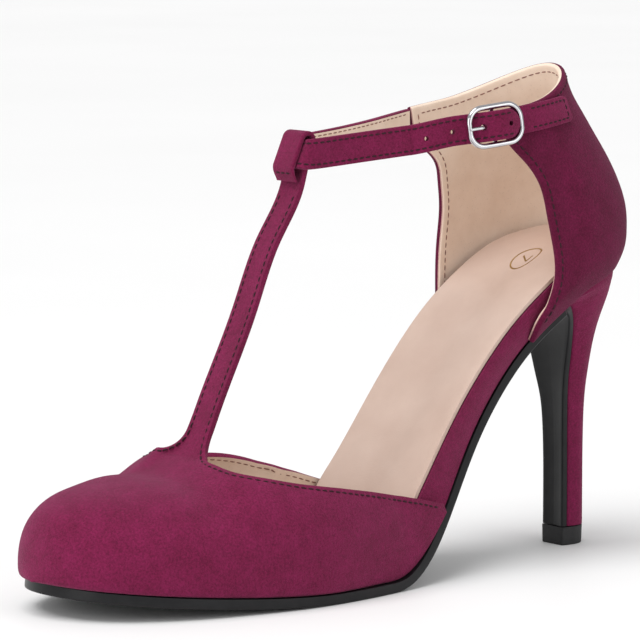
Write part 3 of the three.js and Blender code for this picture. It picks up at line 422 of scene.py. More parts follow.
def add_wall(piece, thickness):
    """Gives a sheet its wall behind the outer face, a lined inside and a soft edge."""
    solid = piece.modifiers.new("wall", "SOLIDIFY")
    solid.thickness = thickness / 1000
    solid.offset = -1
    solid.use_quality_normals = True
    solid.material_offset = 1
    solid.material_offset_rim = 2
    ease = piece.modifiers.new("eased edge", "BEVEL")
    ease.width = eased_edge / 1000
    ease.segments = 2
    ease.limit_method = "ANGLE"
    ease.angle_limit = math.radians(55)


# %% [markdown]
# ## Finishes
# Suede is the brushed flesh side of a hide. Its short fibres lie in all directions, so it has no shine
# of its own: it scatters light, glows a little at grazing angles and shows soft darker and lighter
# patches where the nap has been stroked. Sheen gives the glow, two sizes of noise give the patches, and
# a fine bump gives the fibres. The heel cup has a darker copy with less sheen: its darker colour is painted
# shade.
# All patterns read Object coordinates, in metres.

# %% Material helpers
def new_material(name, **sockets):
    """Principled material with constants set on its own sockets."""
    material = bpy.data.materials.new(name)
    material.use_nodes = True
    shader = material.node_tree.nodes["Principled BSDF"]
    for socket, value in sockets.items():
        shader.inputs[socket.replace("_", " ")].default_value = value
    return material, material.node_tree, shader


def texture(tree, kind, **sockets):
    """Outputs of a texture that reads Object coordinates."""
    place = tree.nodes.new("ShaderNodeTexCoord")
    node = tree.nodes.new("ShaderNodeTex" + kind)
    for socket, value in sockets.items():
        node.inputs[socket].default_value = value
    tree.links.new(place.outputs["Object"], node.inputs["Vector"])
    return node.outputs


def noise(tree, scale, detail, roughness=0.55):
    return texture(tree, "Noise", Scale=scale, Detail=detail, Roughness=roughness)["Fac"]


def pores(tree, scale):
    return texture(tree, "Voronoi", Scale=scale)["Distance"]


def ramp(tree, value, *stops):
    """Colour ramp from (place, grey or colour) stops."""
    node = tree.nodes.new("ShaderNodeValToRGB")
    for k, (place, colour) in enumerate(stops):
        stop = node.color_ramp.elements[k] if k < 2 else node.color_ramp.elements.new(place)
        stop.position = place
        rgb = colour if isinstance(colour, tuple) else (colour,) * 3
        stop.color = (*rgb, 1)
    tree.links.new(value, node.inputs["Fac"])
    return node.outputs["Color"]


def mottle(tree, scale, detail, dark, light):
    """Noise that wanders between a dark and a light grey or colour."""
    return ramp(tree, noise(tree, scale, detail), (0.3, dark), (0.7, light))


def darken(tree, a, b, share):
    """Multiplies colour a by b, by a share."""
    node = tree.nodes.new("ShaderNodeMix")
    node.data_type = "RGBA"
    node.blend_type = "MULTIPLY"
    node.inputs["Factor"].default_value = share
    tree.links.new(a, node.inputs["A"])
    tree.links.new(b, node.inputs["B"])
    return node.outputs["Result"]


def bump(tree, shader, heights, distance):
    """Chains bumps from several heights, each with its strength, onto the shader."""
    normal = None
    for height, strength in heights:
        node = tree.nodes.new("ShaderNodeBump")
        node.inputs["Strength"].default_value = strength
        node.inputs["Distance"].default_value = distance
        tree.links.new(height, node.inputs["Height"])
        if normal is not None:
            tree.links.new(normal, node.inputs["Normal"])
        normal = node.outputs["Normal"]
    tree.links.new(normal, shader.inputs["Normal"])


def paint(tree, shader, colour):
    tree.links.new(colour, shader.inputs["Base Color"])


# %% Suede
def make_suede(name, dark, light, glow):
    """Burgundy suede: stroked patches of half a centimetre, flecks of a millimetre, and fibres."""
    material, tree, shader = new_material(
        name, Roughness=0.92, Specular_IOR_Level=0.18, Sheen_Weight=glow, Sheen_Roughness=0.45,
        Sheen_Tint=(0.85, 0.34, 0.55, 1),
    )
    patches = noise(tree, 150, 5, 0.65)
    flecks = noise(tree, 1500, 4, 0.75)
    fibres = noise(tree, 4200, 2, 0.6)
    broad = ramp(tree, patches, (0.28, dark), (0.74, light))
    fine = ramp(tree, flecks, (0.34, 0.42), (0.66, 1.0))
    paint(tree, shader, darken(tree, broad, fine, 0.8))
    bump(tree, shader, [(flecks, 0.5), (fibres, 0.6)], 0.0003)
    return material


suede = make_suede("burgundy_suede", (0.165, 0.0080, 0.047), (0.235, 0.0130, 0.075), 0.24)
# A darker copy of the same suede, with less sheen, for the heel cup: the darker colour is painted shade
shaded_cup_suede = make_suede("burgundy_suede_painted_shade", (0.110, 0.0045, 0.031), (0.160, 0.0075, 0.050), 0.12)

# %% [markdown]
# The lining is undyed pigskin, pale and matt, with its hair pores in small groups. The cut edge of suede
# and lining shows paler and pinker than either. The sock is a smooth coated leather over thin foam.

# %% Lining, cut edge and sock
lining, tree, shader = new_material("pigskin_lining", Roughness=0.72, Specular_IOR_Level=0.25)
tone = mottle(tree, 120, 4, (0.760, 0.600, 0.480), (0.840, 0.690, 0.570))
dots = ramp(tree, pores(tree, 950), (0.0, 0.72), (0.22, 1.0))
paint(tree, shader, darken(tree, tone, dots, 0.6))
bump(tree, shader, [(dots, 0.25), (noise(tree, 700, 4), 0.3)], 0.0002)

cut_edge, tree, shader = new_material("cut_edge", Roughness=0.8, Specular_IOR_Level=0.2)
paint(tree, shader, mottle(tree, 1500, 3, (0.46, 0.25, 0.225), (0.60, 0.38, 0.34)))
bump(tree, shader, [(noise(tree, 3000, 2), 0.4)], 0.0001)

sock_leather, tree, shader = new_material("sock_leather", Roughness=0.42, Specular_IOR_Level=0.45)
paint(tree, shader, mottle(tree, 60, 5, (0.510, 0.370, 0.305), (0.570, 0.430, 0.360)))
bump(tree, shader, [(noise(tree, 2600, 3), 0.22), (pores(tree, 1800), 0.12)], 0.00012)

# %% [markdown]
# The sole is a smooth black synthetic with a satin finish and the faint unevenness of a moulding. The
# wearing piece under the heel is a duller, harder rubber. Thread is matt with a twist, and the buckle is
# polished and chromed zinc, whose shine is broken only by very slight waves.

# %% Sole, threads and metals
sole_black, tree, shader = new_material("sole_black", Specular_IOR_Level=0.22)
paint(tree, shader, mottle(tree, 240, 4, (0.0060, 0.0060, 0.0068), (0.0105, 0.0105, 0.0115)))
tree.links.new(mottle(tree, 90, 4, 0.30, 0.42), shader.inputs["Roughness"])
bump(tree, shader, [(noise(tree, 1600, 3), 0.15)], 0.0001)

tip_black, tree, shader = new_material("tip_rubber", Roughness=0.6, Specular_IOR_Level=0.4)
paint(tree, shader, mottle(tree, 500, 4, (0.010, 0.010, 0.011), (0.018, 0.018, 0.019)))
bump(tree, shader, [(noise(tree, 2400, 3), 0.3)], 0.00015)


def make_thread(name, dark, light):
    material, tree, shader = new_material(name, Roughness=0.7, Specular_IOR_Level=0.3)
    paint(tree, shader, mottle(tree, 2500, 2, dark, light))
    bump(tree, shader, [(noise(tree, 6000, 2), 0.5)], 0.0001)
    return material


# The burgundy thread is much darker than the suede: partly the thread's own colour, partly painted shade of
# the sunk stitches and their needle holes
thread = make_thread("burgundy_thread", (0.016, 0.0012, 0.005), (0.038, 0.0032, 0.012))
lining_thread = make_thread("lining_thread", (0.17, 0.075, 0.060), (0.30, 0.15, 0.115))


def make_metal(name, dark, light, rough):
    """Polished metal whose roughness wanders a little about its middle value."""
    material, tree, shader = new_material(name, Metallic=1.0)
    paint(tree, shader, mottle(tree, 300, 2, dark, light))
    wander = mottle(tree, 500, 3, 0.8 * rough, 1.25 * rough)
    tree.links.new(wander, shader.inputs["Roughness"])
    bump(tree, shader, [(noise(tree, 260, 2), 0.12)], 0.00008)
    return material


chrome = make_metal("buckle_chrome", (0.50, 0.50, 0.52), (0.60, 0.60, 0.62), 0.10)
gold_foil = make_metal("gold_foil", (0.36, 0.23, 0.075), (0.50, 0.34, 0.13), 0.42)
print("finishes made")

# %% [markdown]
# ## Stitches
# A lockstitch shows as a row of short threads, each pulled down at both ends into its needle holes. One
# stitch is a thin tube whose middle stands proud and whose ends are sunk in the leather. The whole row
# is one array: where each stitch starts and ends along the seam, times one small tube.

# %% Stitch helper
def stitch_row(name, line, normals, material, slot, inset=0.0, pitch=2.3, radius=0.27):
    """Row of tubes beside a line. Inset moves the row sideways on the surface, square to the line.
    Over its length a tube's middle rises and sinks again by half a sine wave, in radii of the thread."""
    length, arch, sink = 0.70, 0.85, 0.7
    rings, sides = 6, 6
    line, normals = np.asarray(line, float), unit(np.asarray(normals, float))
    tangent = unit(np.gradient(line, axis=0))
    line = line + inset * unit(np.cross(normals, tangent))
    reach = reach_along(line)
    count = max(int(reach[-1] / pitch), 1)
    start = (np.arange(count) + 0.5 - length / 2) * reach[-1] / count

    def along(where, values):
        return np.stack([np.interp(where, reach, values[:, k]) for k in range(3)], axis=-1)

    share = np.linspace(0, 1, rings)
    where = start[:, None] + share * length * reach[-1] / count
    normal = unit(along(where, normals))
    centre = along(where, line) + normal * (radius * (arch * np.sin(np.pi * share) - sink))[None, :, None]
    side = unit(np.cross(normal, np.gradient(centre, axis=1)))
    swing = np.linspace(0, 2 * np.pi, sides, endpoint=False)
    tubes = (
        centre[:, :, None]
        + radius * np.cos(swing)[:, None] * side[:, :, None]
        + radius * np.sin(swing)[:, None] * normal[:, :, None]
    )
    starts = rings * sides * np.arange(count)
    faces = (grid_faces(rings, sides, wrap=True) + starts[:, None, None]).reshape(-1, 4).tolist()
    caps = starts[:, None] + np.arange(sides)
    faces += caps.tolist() + (caps + (rings - 1) * sides).tolist()
    print(name, count, "stitches")
    make_piece(name, tubes, faces, [material], slot)


# %% [markdown]
# ## The ankle oval
# The collar and the ankle strap follow one oval seen from above: half an ellipse behind the ankle, then
# a longer half that narrows to a blunt front, as wide as the T strap that holds it. A quarter counts 0
# at the back, 1 at the widest place and 2 at the front, with the sign of its side.

# %% Oval and strap frames
pinch = spline(
    [0.00, 0.20, 0.32, 0.43, 0.65, 0.80, 0.89, 1.00],
    [1.000, 0.925, 0.815, 0.690, 0.500, 0.430, 0.415, 0.415],
    level_start=True,
)


def oval_point(quarter, offset):
    quarter = np.asarray(quarter, float)
    side = np.where(quarter < 0, -1.0, 1.0)
    swing = np.pi / 2 * np.abs(quarter)
    across, back = np.sin(swing), np.cos(swing)
    ahead = np.clip(-back, 0, None)
    rear = side * (ankle_half + offset) * across
    front_half = (ankle_half + offset) * pinch(ahead) * np.abs(across) ** front_blunt
    front = side * np.where(across < 0, -1, 1) * front_half
    depth = np.where(back >= 0, ankle_round, ankle_reach) + offset
    return np.where(back >= 0, rear, front), ankle_middle + depth * back


def quarter_at(y):
    ahead = ankle_middle - np.asarray(y, float)
    front = np.pi / 2 + np.arcsin(np.clip(ahead / ankle_reach, 0, 1))
    rear = np.arccos(np.clip(-ahead / ankle_round, 0, 1))
    return np.where(ahead > 0, front, rear) / (np.pi / 2)


strap_front_y = ankle_middle - ankle_reach


def strap_height(x, y):
    """The strap's middle line: a parabola that climbs towards the heel, a little higher outside."""
    back = y - strap_front_y
    climb = strap_climb * back + strap_bend * back**2
    return heel_seat_height + strap_rise + climb + strap_tilt * x


def strap_frame(quarter, offset):
    """Point on the oval, and the directions along the strap, up it and out of it."""
    quarter = np.asarray(quarter, float)

    def place(q):
        x, y = oval_point(q, offset)
        return points_of(x, y, strap_height(x, y))

    at = place(quarter)
    along = unit(place(quarter - 0.004) - place(quarter + 0.004))
    away = smooth((at[..., 1] - strap_front_y) / lean_length)
    up = points_of(-np.sign(quarter) * side_lean * away, math.tan(front_lean) * (1 - away), 1.0)
    up = square_to(up, along)
    return at, along, up, np.cross(along, up)


# %% Band helper
def band_section(width, thickness, ease=0.45):
    """Thin oblong with rounded edges: outer line, rounded edge, inner line, rounded edge.
    The edges are half ellipses, a little squared, as a pressed and cut edge is."""
    flats, arcs, square = 9, 6, 0.7
    width, thickness = np.atleast_1d(width)[:, None], np.atleast_1d(thickness)[:, None]
    flat = np.linspace(-1, 1, flats)
    swing = np.linspace(np.pi / 2, -np.pi / 2, arcs + 2)[1:-1]
    round_u, round_o = np.cos(swing) ** square, np.sign(swing) * np.abs(np.sin(swing)) ** square
    base = np.concatenate([flat, np.ones(arcs), flat[::-1], -np.ones(arcs)])
    edge = np.concatenate([np.zeros(flats), round_u, np.zeros(flats), -round_u[::-1]])
    out = np.concatenate([np.ones(flats), round_o, -np.ones(flats), round_o[::-1]])
    ease = np.minimum(ease, width / 3)
    inside = np.concatenate([np.zeros(flats + arcs), np.ones(flats), np.zeros(arcs)])
    return base * (width / 2 - ease) + edge * ease, out * thickness / 2, inside


def band(centres, up, out, width, thickness, **section):
    u, o, inside = band_section(width, thickness, **section)
    rings = centres[:, None] + u[..., None] * up[:, None] + o[..., None] * out[:, None]
    return rings, inside.astype(int)


print("strap height over the floor at the front", round(float(strap_height(0, strap_front_y)), 1), "mm")

# %% [markdown]
# ## Vamp and T strap
# The vamp is the suede that covers the toe and the sides of the foot. It is pulled over the last and
# its edge is tucked under the board, which is why it bulges over its foot line. The T strap is cut in
# one piece with it. The surface is a fan: rays run from the toe tip to the topline, each at its own
# angle round the last, and a section of the last is a squared half ellipse, higher towards the throat.

# %% Vamp surface
vamp_table = np.array([
    # along, ridge, fullness, tuck
    [0.000, 0.00, 2.1, 1.0], [0.007, 0.38, 2.1, 1.0], [0.028, 0.55, 2.2, 1.0], [0.058, 0.65, 2.3, 1.0],
    [0.105, 0.725, 2.4, 1.0], [0.155, 0.775, 2.5, 1.0], [0.196, 0.80, 2.6, 1.0], [0.239, 0.93, 2.7, 1.0],
    [0.321, 0.98, 3.0, 1.0], [0.435, 1.02, 3.0, 0.7], [0.595, 1.02, 3.0, 0.0],
])
vamp_ridge, vamp_full, vamp_tuck = splines(vamp_table, turn_at)
upper_step = fit_gap + wall
foot_share = 0.35


def vamp_point(turn, angle, tuck=1.0):
    """Squared half ellipse over the board: x = widest * cos(angle)^(2/full), height = sin(angle)^(2/full).
    A tuck below 1 rolls the foot of the wall in under its widest place."""
    turn, angle, tuck = np.broadcast_arrays(*(np.asarray(v, float) for v in (turn, angle, tuck)))
    sign = np.where(angle > 90, -1.0, 1.0)
    bulge = vamp_tuck(turn) * foot_tuck
    roll = np.pi / 2 * tuck
    x, own_y = foot_line(turn, sign, upper_step + bulge * np.sin(roll))
    y = (foot_line(turn, sign, upper_step + bulge)[1] + foot_line(turn, -sign, upper_step + bulge)[1]) / 2
    y = mix(own_y, y, np.sin(roll))
    height = vamp_height * vamp_ridge(turn)
    base = fit_gap + np.minimum(fore_board_thickness + bulge, foot_share * height)
    power = 2 / vamp_full(turn)
    turned = np.radians(np.clip(angle, 0, 180))
    x = np.abs(x) * sign * np.abs(np.cos(turned)) ** power
    lift = base + np.clip(height - base, 0, None) * np.abs(np.sin(turned)) ** power
    lift = mix(fit_gap, lift, 1 - np.cos(roll))
    return over(y, x, lift, vamp_lean)


# %% Topline
side_columns, root_columns, tuck_columns, vamp_rows = 70, 12, 6, 64
topline = np.array([
    # along, outer angle, inner angle
    [0.5970, 0.0, 0.0], [0.5800, 3.1, 3.2], [0.5630, 8.5, 9.0], [0.5430, 15.1, 17.0],
    [0.5230, 21.0, 24.0], [0.5030, 24.8, 28.7], [0.4800, 27.0, 31.6], [0.4480, 30.0, 36.2],
    [0.4090, 34.2, 43.0], [0.3660, 39.8, 48.4], [0.3200, 45.2, 51.6], [0.2810, 50.8, 54.5],
    [0.2500, 59.5, 61.0], [0.2425, 64.7, 66.0], [0.2385, 73.5, 74.0], [0.2375, 82.0, 82.0],
    [0.2375, 90.0, 90.0],
])


def even_angle(angle, power):
    """Squares an ellipse's angle so that equal steps of it are about equal steps along the section."""
    return np.arctan(np.tan(np.minimum(angle, np.pi / 2 - 1e-9)) ** power)


def topline_side(angles):
    """Splines of the angle and of the place along the last, over the share of the topline's own length."""
    reach = reach_along(vamp_point(turn_at(topline[:, 0]), angles))
    turned = spline(reach / reach[-1], even_angle(np.radians(angles), 2 / 3))
    along = spline(reach / reach[-1], topline[:, 0])
    return (lambda share: np.degrees(even_angle(np.clip(turned(share), 0, None), 3 / 2))), along


strap_root_half = t_strap_width / 2 + topline_corner


def half_topline(column):
    """Angles and places of one side's columns: evenly spaced, with one where the T strap's corner starts."""
    angle, along = topline_side(topline[:, column])
    scan = np.linspace(0.5, 1, 4001)
    scan_x = vamp_point(turn_at(along(scan)), angle(scan))[:, 0]
    root_share = float(np.interp(strap_root_half, scan_x[::-1], scan[::-1]))
    shares = np.concatenate([
        np.linspace(0, root_share, side_columns + 1), np.linspace(root_share, 1, root_columns + 1)[1:],
    ])
    return angle(shares), along(shares)


outer_angles, outer_alongs = half_topline(1)
inner_angles, inner_alongs = half_topline(2)
tucks = np.linspace(0, 1, tuck_columns + 1)[:-1]
angles = np.concatenate([0 * tucks, outer_angles, 180 - inner_angles[-2::-1], 180 + 0 * tucks])
alongs = np.concatenate([
    0 * tucks + outer_alongs[0], outer_alongs, inner_alongs[-2::-1], 0 * tucks + inner_alongs[0],
])
rolls = np.concatenate([tucks, np.ones(2 * len(outer_angles) - 1), tucks[::-1]])
ends = turn_at(alongs)
fan = vamp_point(np.linspace(0, 1, vamp_rows + 1)[:, None] * ends, angles, rolls)
# The inner throat corner curls up a little, as it does on a shoe nobody has worn
curl_height, curl_width, curl_start = 1.8, 3.5, 12
row_share = np.linspace(0, 1, vamp_rows + 1)[:, None]
from_corner = (fan[..., 0] + strap_root_half) / curl_width
fan[..., 2] += curl_height * row_share**curl_start * np.exp(-(from_corner**2))
print("vamp fan", fan.shape[:2], "rows and columns")

# %% [markdown]
# The T strap leaves the throat with a fillet on each side, climbs the instep in one soft curve, and goes
# up behind the ankle strap. Its middle line is a spline through a few places, and its edges close in
# along a quarter circle at the root.

# %% T strap sheet
throat = vamp_point(turn_at(topline[-1, 0]), 90.0)[1:]
before_throat = vamp_point(turn_at(topline[-1, 0] - throat_lead), 90.0)[1:]
loop_at, _, loop_up, loop_out = strap_frame(2.0, -strap_thickness / 2)


def loop_point(out, up):
    """Y and Z of a place in the loop's section, by steps out from the ankle strap and up."""
    out, up = np.asarray(out, float)[..., None], np.asarray(up, float)[..., None]
    return loop_at[1:] + out * loop_out[1:] + up * loop_up[1:]


band_face = -(strap_thickness / 2 + 2 * fit_gap)
loop_entry = loop_point(band_face + entry_dip, -entry_drop)
climb_back = np.array([0.00, 0.13, 0.22, 0.375, 0.56, 0.78, 1.00])[:, None]
climb_up = np.array([0.00, 0.10, 0.20, 0.36, 0.56, 0.81, 1.00])[:, None]
climb = np.hstack([mix(throat[0], loop_entry[0], climb_back), mix(throat[1], loop_entry[1], climb_up)])
knots = np.vstack([
    before_throat, climb,
    loop_point(band_face, -0.2 * ankle_strap_width), loop_point(band_face, 0.55 * ankle_strap_width),
])
chords = reach_along(knots)
strap_line = splines(np.column_stack([chords, knots]))
strap_run = chords[-1] - chords[1]


def t_strap_half(run):
    """Half width: a quarter circle at the root, then a slight taper."""
    left = np.clip(topline_corner - run, 0, None)
    taper = t_strap_taper * smooth(run / strap_run)
    return strap_root_half - np.sqrt(topline_corner**2 - left**2) - taper


middle_column = fan.shape[1] // 2
root = fan[-1, middle_column - root_columns:middle_column + root_columns + 1]
corner_end = 2.1 * topline_corner
runs = np.concatenate([
    corner_end * np.linspace(0, 1, 31)[1:] ** 1.6, np.linspace(corner_end, strap_run, 70)[1:],
])[:, None]
strap_y, strap_z = (line(chords[1] + runs) for line in strap_line)
fade = 1 - smooth(runs / (2 * topline_corner))
climb_sheet = points_of(
    root[:, 0] / strap_root_half * t_strap_half(runs),
    strap_y + (root[:, 1] - throat[0]) * fade,
    strap_z + (root[:, 2] - throat[1]) * fade,
)
strap_sheet = np.concatenate([root[None], climb_sheet])


def grid_normals(grid):
    """Normals of a grid from the cross product of its two directions."""
    return unit(np.cross(np.gradient(grid, axis=0), np.gradient(grid, axis=1)) + 1e-12)


# Outward normals: of the fan's last row, then of the strap, which is flat across
fan_normals = grid_normals(fan)
if fan_normals[-1, middle_column, 2] < 0:
    fan_normals = -fan_normals
climb_go = unit(np.gradient(strap_sheet[:, root_columns], axis=0))
climb_normals = np.cross([1.0, 0, 0], climb_go)
strap_blend = smooth(np.concatenate([[[0]], runs]) / topline_corner)

# %% Vamp and T strap in one piece
vamp_points = np.concatenate([fan.reshape(-1, 3), strap_sheet.reshape(-1, 3)])
vamp_faces = np.concatenate([
    grid_faces(*fan.shape[:2]), grid_faces(*strap_sheet.shape[:2], start=fan[..., 0].size),
])
vamp = make_piece(
    "vamp_and_t_strap", vamp_points, vamp_faces, [suede, lining, suede], "vamp", "vamp", closed=False,
)
add_wall(vamp, wall)

# %% [markdown]
# The T strap's end goes over the ankle strap and is sewn down in front, which makes the loop that the
# ankle strap slides through. The fold is a flat band swept along a path in the shoe's middle plane.

# %% Fold of the T strap
flap_back = band_face - wall / 2
flap_front = strap_thickness / 2 + fit_gap + flap_thickness / 2
fold_radius = (flap_front - flap_back) / 2
fold_top = ankle_strap_width / 2
fold_start = -2
fold_swing = np.radians(np.linspace(0, 180, 25))
flap_inward = np.array([0.02, 0.06, 0.16, 0.3, 0.5, 0.68, 0.86, 1.0])
flap_drop = np.array([0.2, 0.6, 1.1, 1.6, 2.1, 2.5, 2.95, 3.4])
fold_path = np.vstack([
    np.column_stack([np.full(4, flap_back), np.linspace(fold_start, fold_top, 5)[:-1]]),
    np.column_stack([
        flap_back + fold_radius * (1 - np.cos(fold_swing)), fold_top + fold_radius * np.sin(fold_swing),
    ]),
    np.column_stack([np.full(9, flap_front), np.linspace(fold_top, -fold_top, 10)[1:]]),
    np.column_stack([
        mix(flap_front, band_face + flap_thickness / 2 - flap_sink, flap_inward), -fold_top - flap_drop,
    ]),
])
fold_line = loop_point(fold_path[:, 0], fold_path[:, 1])
fold_centres = points_of(0.0, fold_line[:, 0], fold_line[:, 1])
fold_go = unit(np.gradient(fold_centres, axis=0))
fold_across = np.broadcast_to([1.0, 0, 0], fold_go.shape)
fold_out = np.cross(fold_across, fold_go)
fold_half = t_strap_width / 2 - t_strap_taper - fold_inset
# The flap's end is pared thinner on its inner face over its last rows
skived_share, skived_rows = 0.6, 8
rows_left = np.arange(len(fold_path))[::-1]
skived = flap_thickness * (1 - skived_share * smooth(1 - rows_left / skived_rows))
fold_rings, _ = band(
    fold_centres - (flap_thickness - skived[:, None]) / 2 * fold_out, fold_across, fold_out,
    np.full(len(fold_path), 2 * fold_half), skived,
)
make_loft("t_strap_fold", fold_rings, [suede], "vamp")

# %% [markdown]
# ## Heel cup
# The counter closes round the heel. A stiffener between suede and lining holds its bowed shape: it
# follows the board's side at its foot, swells out over the heel and leans in to the collar. Each point
# lies between the foot line and the collar's oval, pushed out by a bow and, at both front edges, cut
# back in a hollow curve.

# %% Heel cup surface
cup_bow_at, outer_cut, inner_cut = splines(np.array([
    # rise, bow, outer cut, inner cut
    [0.00, 0.00, 0.00, 0.00], [0.08, 0.38, 0.03, 0.08], [0.16, 0.66, 0.23, 0.18], [0.28, 0.96, 0.49, 0.32],
    [0.41, 1.00, 0.57, 0.46], [0.56, 0.79, 0.58, 0.60], [0.68, 0.50, 0.57, 0.60], [0.78, 0.26, 0.33, 0.47],
    [0.87, 0.05, 0.00, 0.00], [1.00, 0.00, 0.00, 0.00],
]))


def cup_point(around, rise):
    """Straight line from foot to collar, plus a bow outwards and a cut back at the front edges."""
    around, rise = np.broadcast_arrays(np.asarray(around, float), np.asarray(rise, float))
    sign = np.where(around < 0.5, 1.0, -1.0)
    forward = np.abs(1 - 2 * around)
    foot_y = np.where(sign > 0, cup_foot[1], cup_foot[-1])
    wing = np.where(sign > 0, wing_front[1], wing_front[-1])
    turn = mix(1, turn_at(foot_y / insole_length), forward)
    foot_x, place = foot_line(turn, sign, 2 * fit_gap + cup_wall)
    tucked = sign * (board_width(turn, sign) - board_side(turn, sign, rise / cup_tuck_rise))
    foot = over(place, foot_x - tucked, fit_gap)
    quarter = quarter_at(wing) * forward
    x, y = oval_point(sign * quarter, 0)
    peak = collar_peak * smooth(1 - quarter / collar_spread)
    lean = side_lean * ankle_strap_width / 2 * np.minimum(quarter, 1)
    top = points_of(x - sign * lean, y, strap_height(x, y) + ankle_strap_width / 2 + peak)
    swing = np.pi / 2 * np.minimum(quarter, 1)
    bow = cup_bow * cup_bow_at(rise) * mix(side_bow, 1, np.cos(swing) ** 2)
    cut = np.clip(np.where(sign > 0, outer_cut(rise), inner_cut(rise)), 0, None)
    back = cut_depth * cut * smooth((forward - cut_start) / (1 - cut_start))
    pushed = points_of(sign * bow * np.sin(swing), bow * np.cos(swing) + back, 0.0)
    return mix(foot, top, rise[..., None]) + pushed


# %% Shell helper
def make_shell(name, outer, normals, wall, materials, slot, *replaced):
    """Wall behind an outer grid, with a rounded edge all round. A half circle of edge points joins the
    outer and inner face: middle + wall / 2 * (cos * normal + edge_round * sin * outward)."""
    edge_round = 0.5
    swing = np.radians(np.linspace(0, 180, 9))[1:-1]
    middle = outer - wall / 2 * normals
    arcs = []
    for here, inward in ((-1, -2), (0, 1)):
        outward = unit(outer[:, here] - outer[:, inward])
        arcs.append(
            middle[:, here, None] + wall / 2 * (
                np.cos(swing)[:, None] * normals[:, here, None]
                + edge_round * np.sin(swing)[:, None] * outward[:, None]
            )
        )
    loops = np.concatenate([outer, arcs[0], (outer - wall * normals)[:, ::-1], arcs[1][:, ::-1]], axis=1)
    middles = np.concatenate([
        middle, np.repeat(middle[:, -1:], len(swing), axis=1), middle[:, ::-1],
        np.repeat(middle[:, :1], len(swing), axis=1),
    ], axis=1)
    lift = np.radians(np.linspace(0, 90, 5))[1:, None, None]

    def lid(edge, inner_edge):
        outward = unit(middles[edge] - middles[inner_edge])
        away = loops[edge] - middles[edge]
        return middles[edge] + np.cos(lift) * away + edge_round * wall / 2 * np.sin(lift) * outward

    # Material numbers: 0 outside and round most of the edge, then 2 the cut edge, then 1 the lining
    rings = np.concatenate([lid(0, 1)[::-1], loops, lid(-1, -2)])
    faces_across = outer.shape[1] - 1
    edge_kinds = [0, 0, 0, 0, 0, 2, 1, 1]
    kinds = np.concatenate([
        np.zeros(faces_across), edge_kinds, np.ones(faces_across), edge_kinds[::-1],
    ])
    kinds = np.tile(kinds, (rings.shape[0] - 1, 1))
    kinds[:len(lift)] = 0
    return make_piece(
        name, rings, grid_faces(*rings.shape[:2], wrap=True), materials, slot, *replaced, kinds=kinds.ravel(),
    )


# %% Heel cup
cup_arounds = np.linspace(0, 1, 151)
cup_rises = np.linspace(0, 1, 73)
cup = cup_point(cup_arounds[None], cup_rises[:, None])
cup_normals = grid_normals(cup)
if cup_normals[len(cup_rises) // 2, len(cup_arounds) // 2, 1] < 0:
    cup_normals = -cup_normals
make_shell("heel_cup", cup, cup_normals, cup_wall, [shaded_cup_suede, lining, cut_edge], "counter", "counter")

# %% [markdown]
# ## Insole board, sock and sole
# The board carries the shoe: stiff shank and fibre board wrapped in suede, thin under the ball and deep
# at the open waist, where it shows. The sock is thin foam under smooth leather, laid in the board's
# slight trough. The sole is a thin sheet under it that turns down the front of the heel as a tongue.

# %% Board
board_end = 0.006
board_turns = np.linspace(board_end, 1 - board_end, 150)[:, None]
board_y = insole_length * along_at(board_turns)
side_share = np.linspace(0, 1, 12)
across = np.linspace(1, -1, 21)[1:-1]
trough_across = trough * (across**2 - 1)
depth = board_depth(board_y)
board_rings = np.concatenate([
    over(board_y, board_side(board_turns, 1, side_share), fit_gap + side_share * depth),
    over(board_y, across * board_width(board_turns, np.sign(across)), fit_gap + depth + trough_across),
    over(board_y, -board_side(board_turns, -1, side_share), fit_gap + side_share * depth)[:, ::-1],
], axis=1)
make_loft("wrapped_board", board_rings, [suede], "insole_board", "insole_board")

# %% Sock
sock_turns = board_turns[2:-2]
sock_y = insole_length * along_at(sock_turns)
sock_across = np.linspace(1, -1, 41)


def sock_surface(turn, share, lift):
    """The board's troughed top, raised by a lift. A share of 1 or -1 is the sock's edge."""
    y = insole_length * along_at(turn)
    x = share * (board_width(turn, np.where(share < 0, -1, 1)) - sock_inset)
    rounded = (1 - np.abs(share) ** 24) * sock_round - sock_dip * np.exp(-((share / sock_dip_width) ** 2))
    return over(y, x, fit_gap + board_depth(y) + trough * (share**2 - 1) + lift - sock_round + rounded)


sock_top = sock_surface(sock_turns, sock_across, fit_gap + sock_thickness)
sock_base = over(
    sock_y, sock_across * (board_width(sock_turns, np.where(sock_across < 0, -1, 1)) - sock_inset),
    2 * fit_gap + board_depth(sock_y) + trough * (sock_across**2 - 1),
)
sock_rings = np.concatenate([sock_top, sock_base[:, ::-1]], axis=1)
make_loft("sock", sock_rings, [sock_leather], "sock", "sock", sharp=60)

# %% [markdown]
# A shoe's size is stamped on the sock in gold foil: here a plain ring with the size number in it. The
# foil follows the sock, because each stroke is a narrow strip whose points are looked up on the sock's
# surface.

# %% Size mark
mark_x, mark_y = 0.4, 183.6
mark_radius = 4.1
digit_top, digit_half, digit_height, digit_slant = 1.75, 1.15, 3.6, 1.9
stroke = 0.42
foil_thickness = 0.15
foil_lift = fit_gap + sock_thickness + foil_thickness / 3


def on_sock(x, y, lift=foil_lift):
    turn = turn_at(y / insole_length)
    share = x / (board_width(turn, np.where(x < 0, -1, 1)) - sock_inset)
    return sock_surface(turn, share, lift)


def foil_strip(x, y, closed=False):
    """Flat strip along a line on the sock, with its two edges half a stroke to each side."""
    go_x, go_y = np.gradient(x), np.gradient(y)
    if closed:
        go_x, go_y = -(y - y.mean()), x - x.mean()
    length = np.hypot(go_x, go_y)
    side = np.array([-1, 1])[:, None] * stroke / 2
    edge_x, edge_y = x + side * go_y / length, y - side * go_x / length
    strip = np.concatenate([
        on_sock(edge_x, edge_y), on_sock(edge_x, edge_y, foil_lift - foil_thickness)[::-1],
    ])
    return strip.transpose(1, 0, 2)


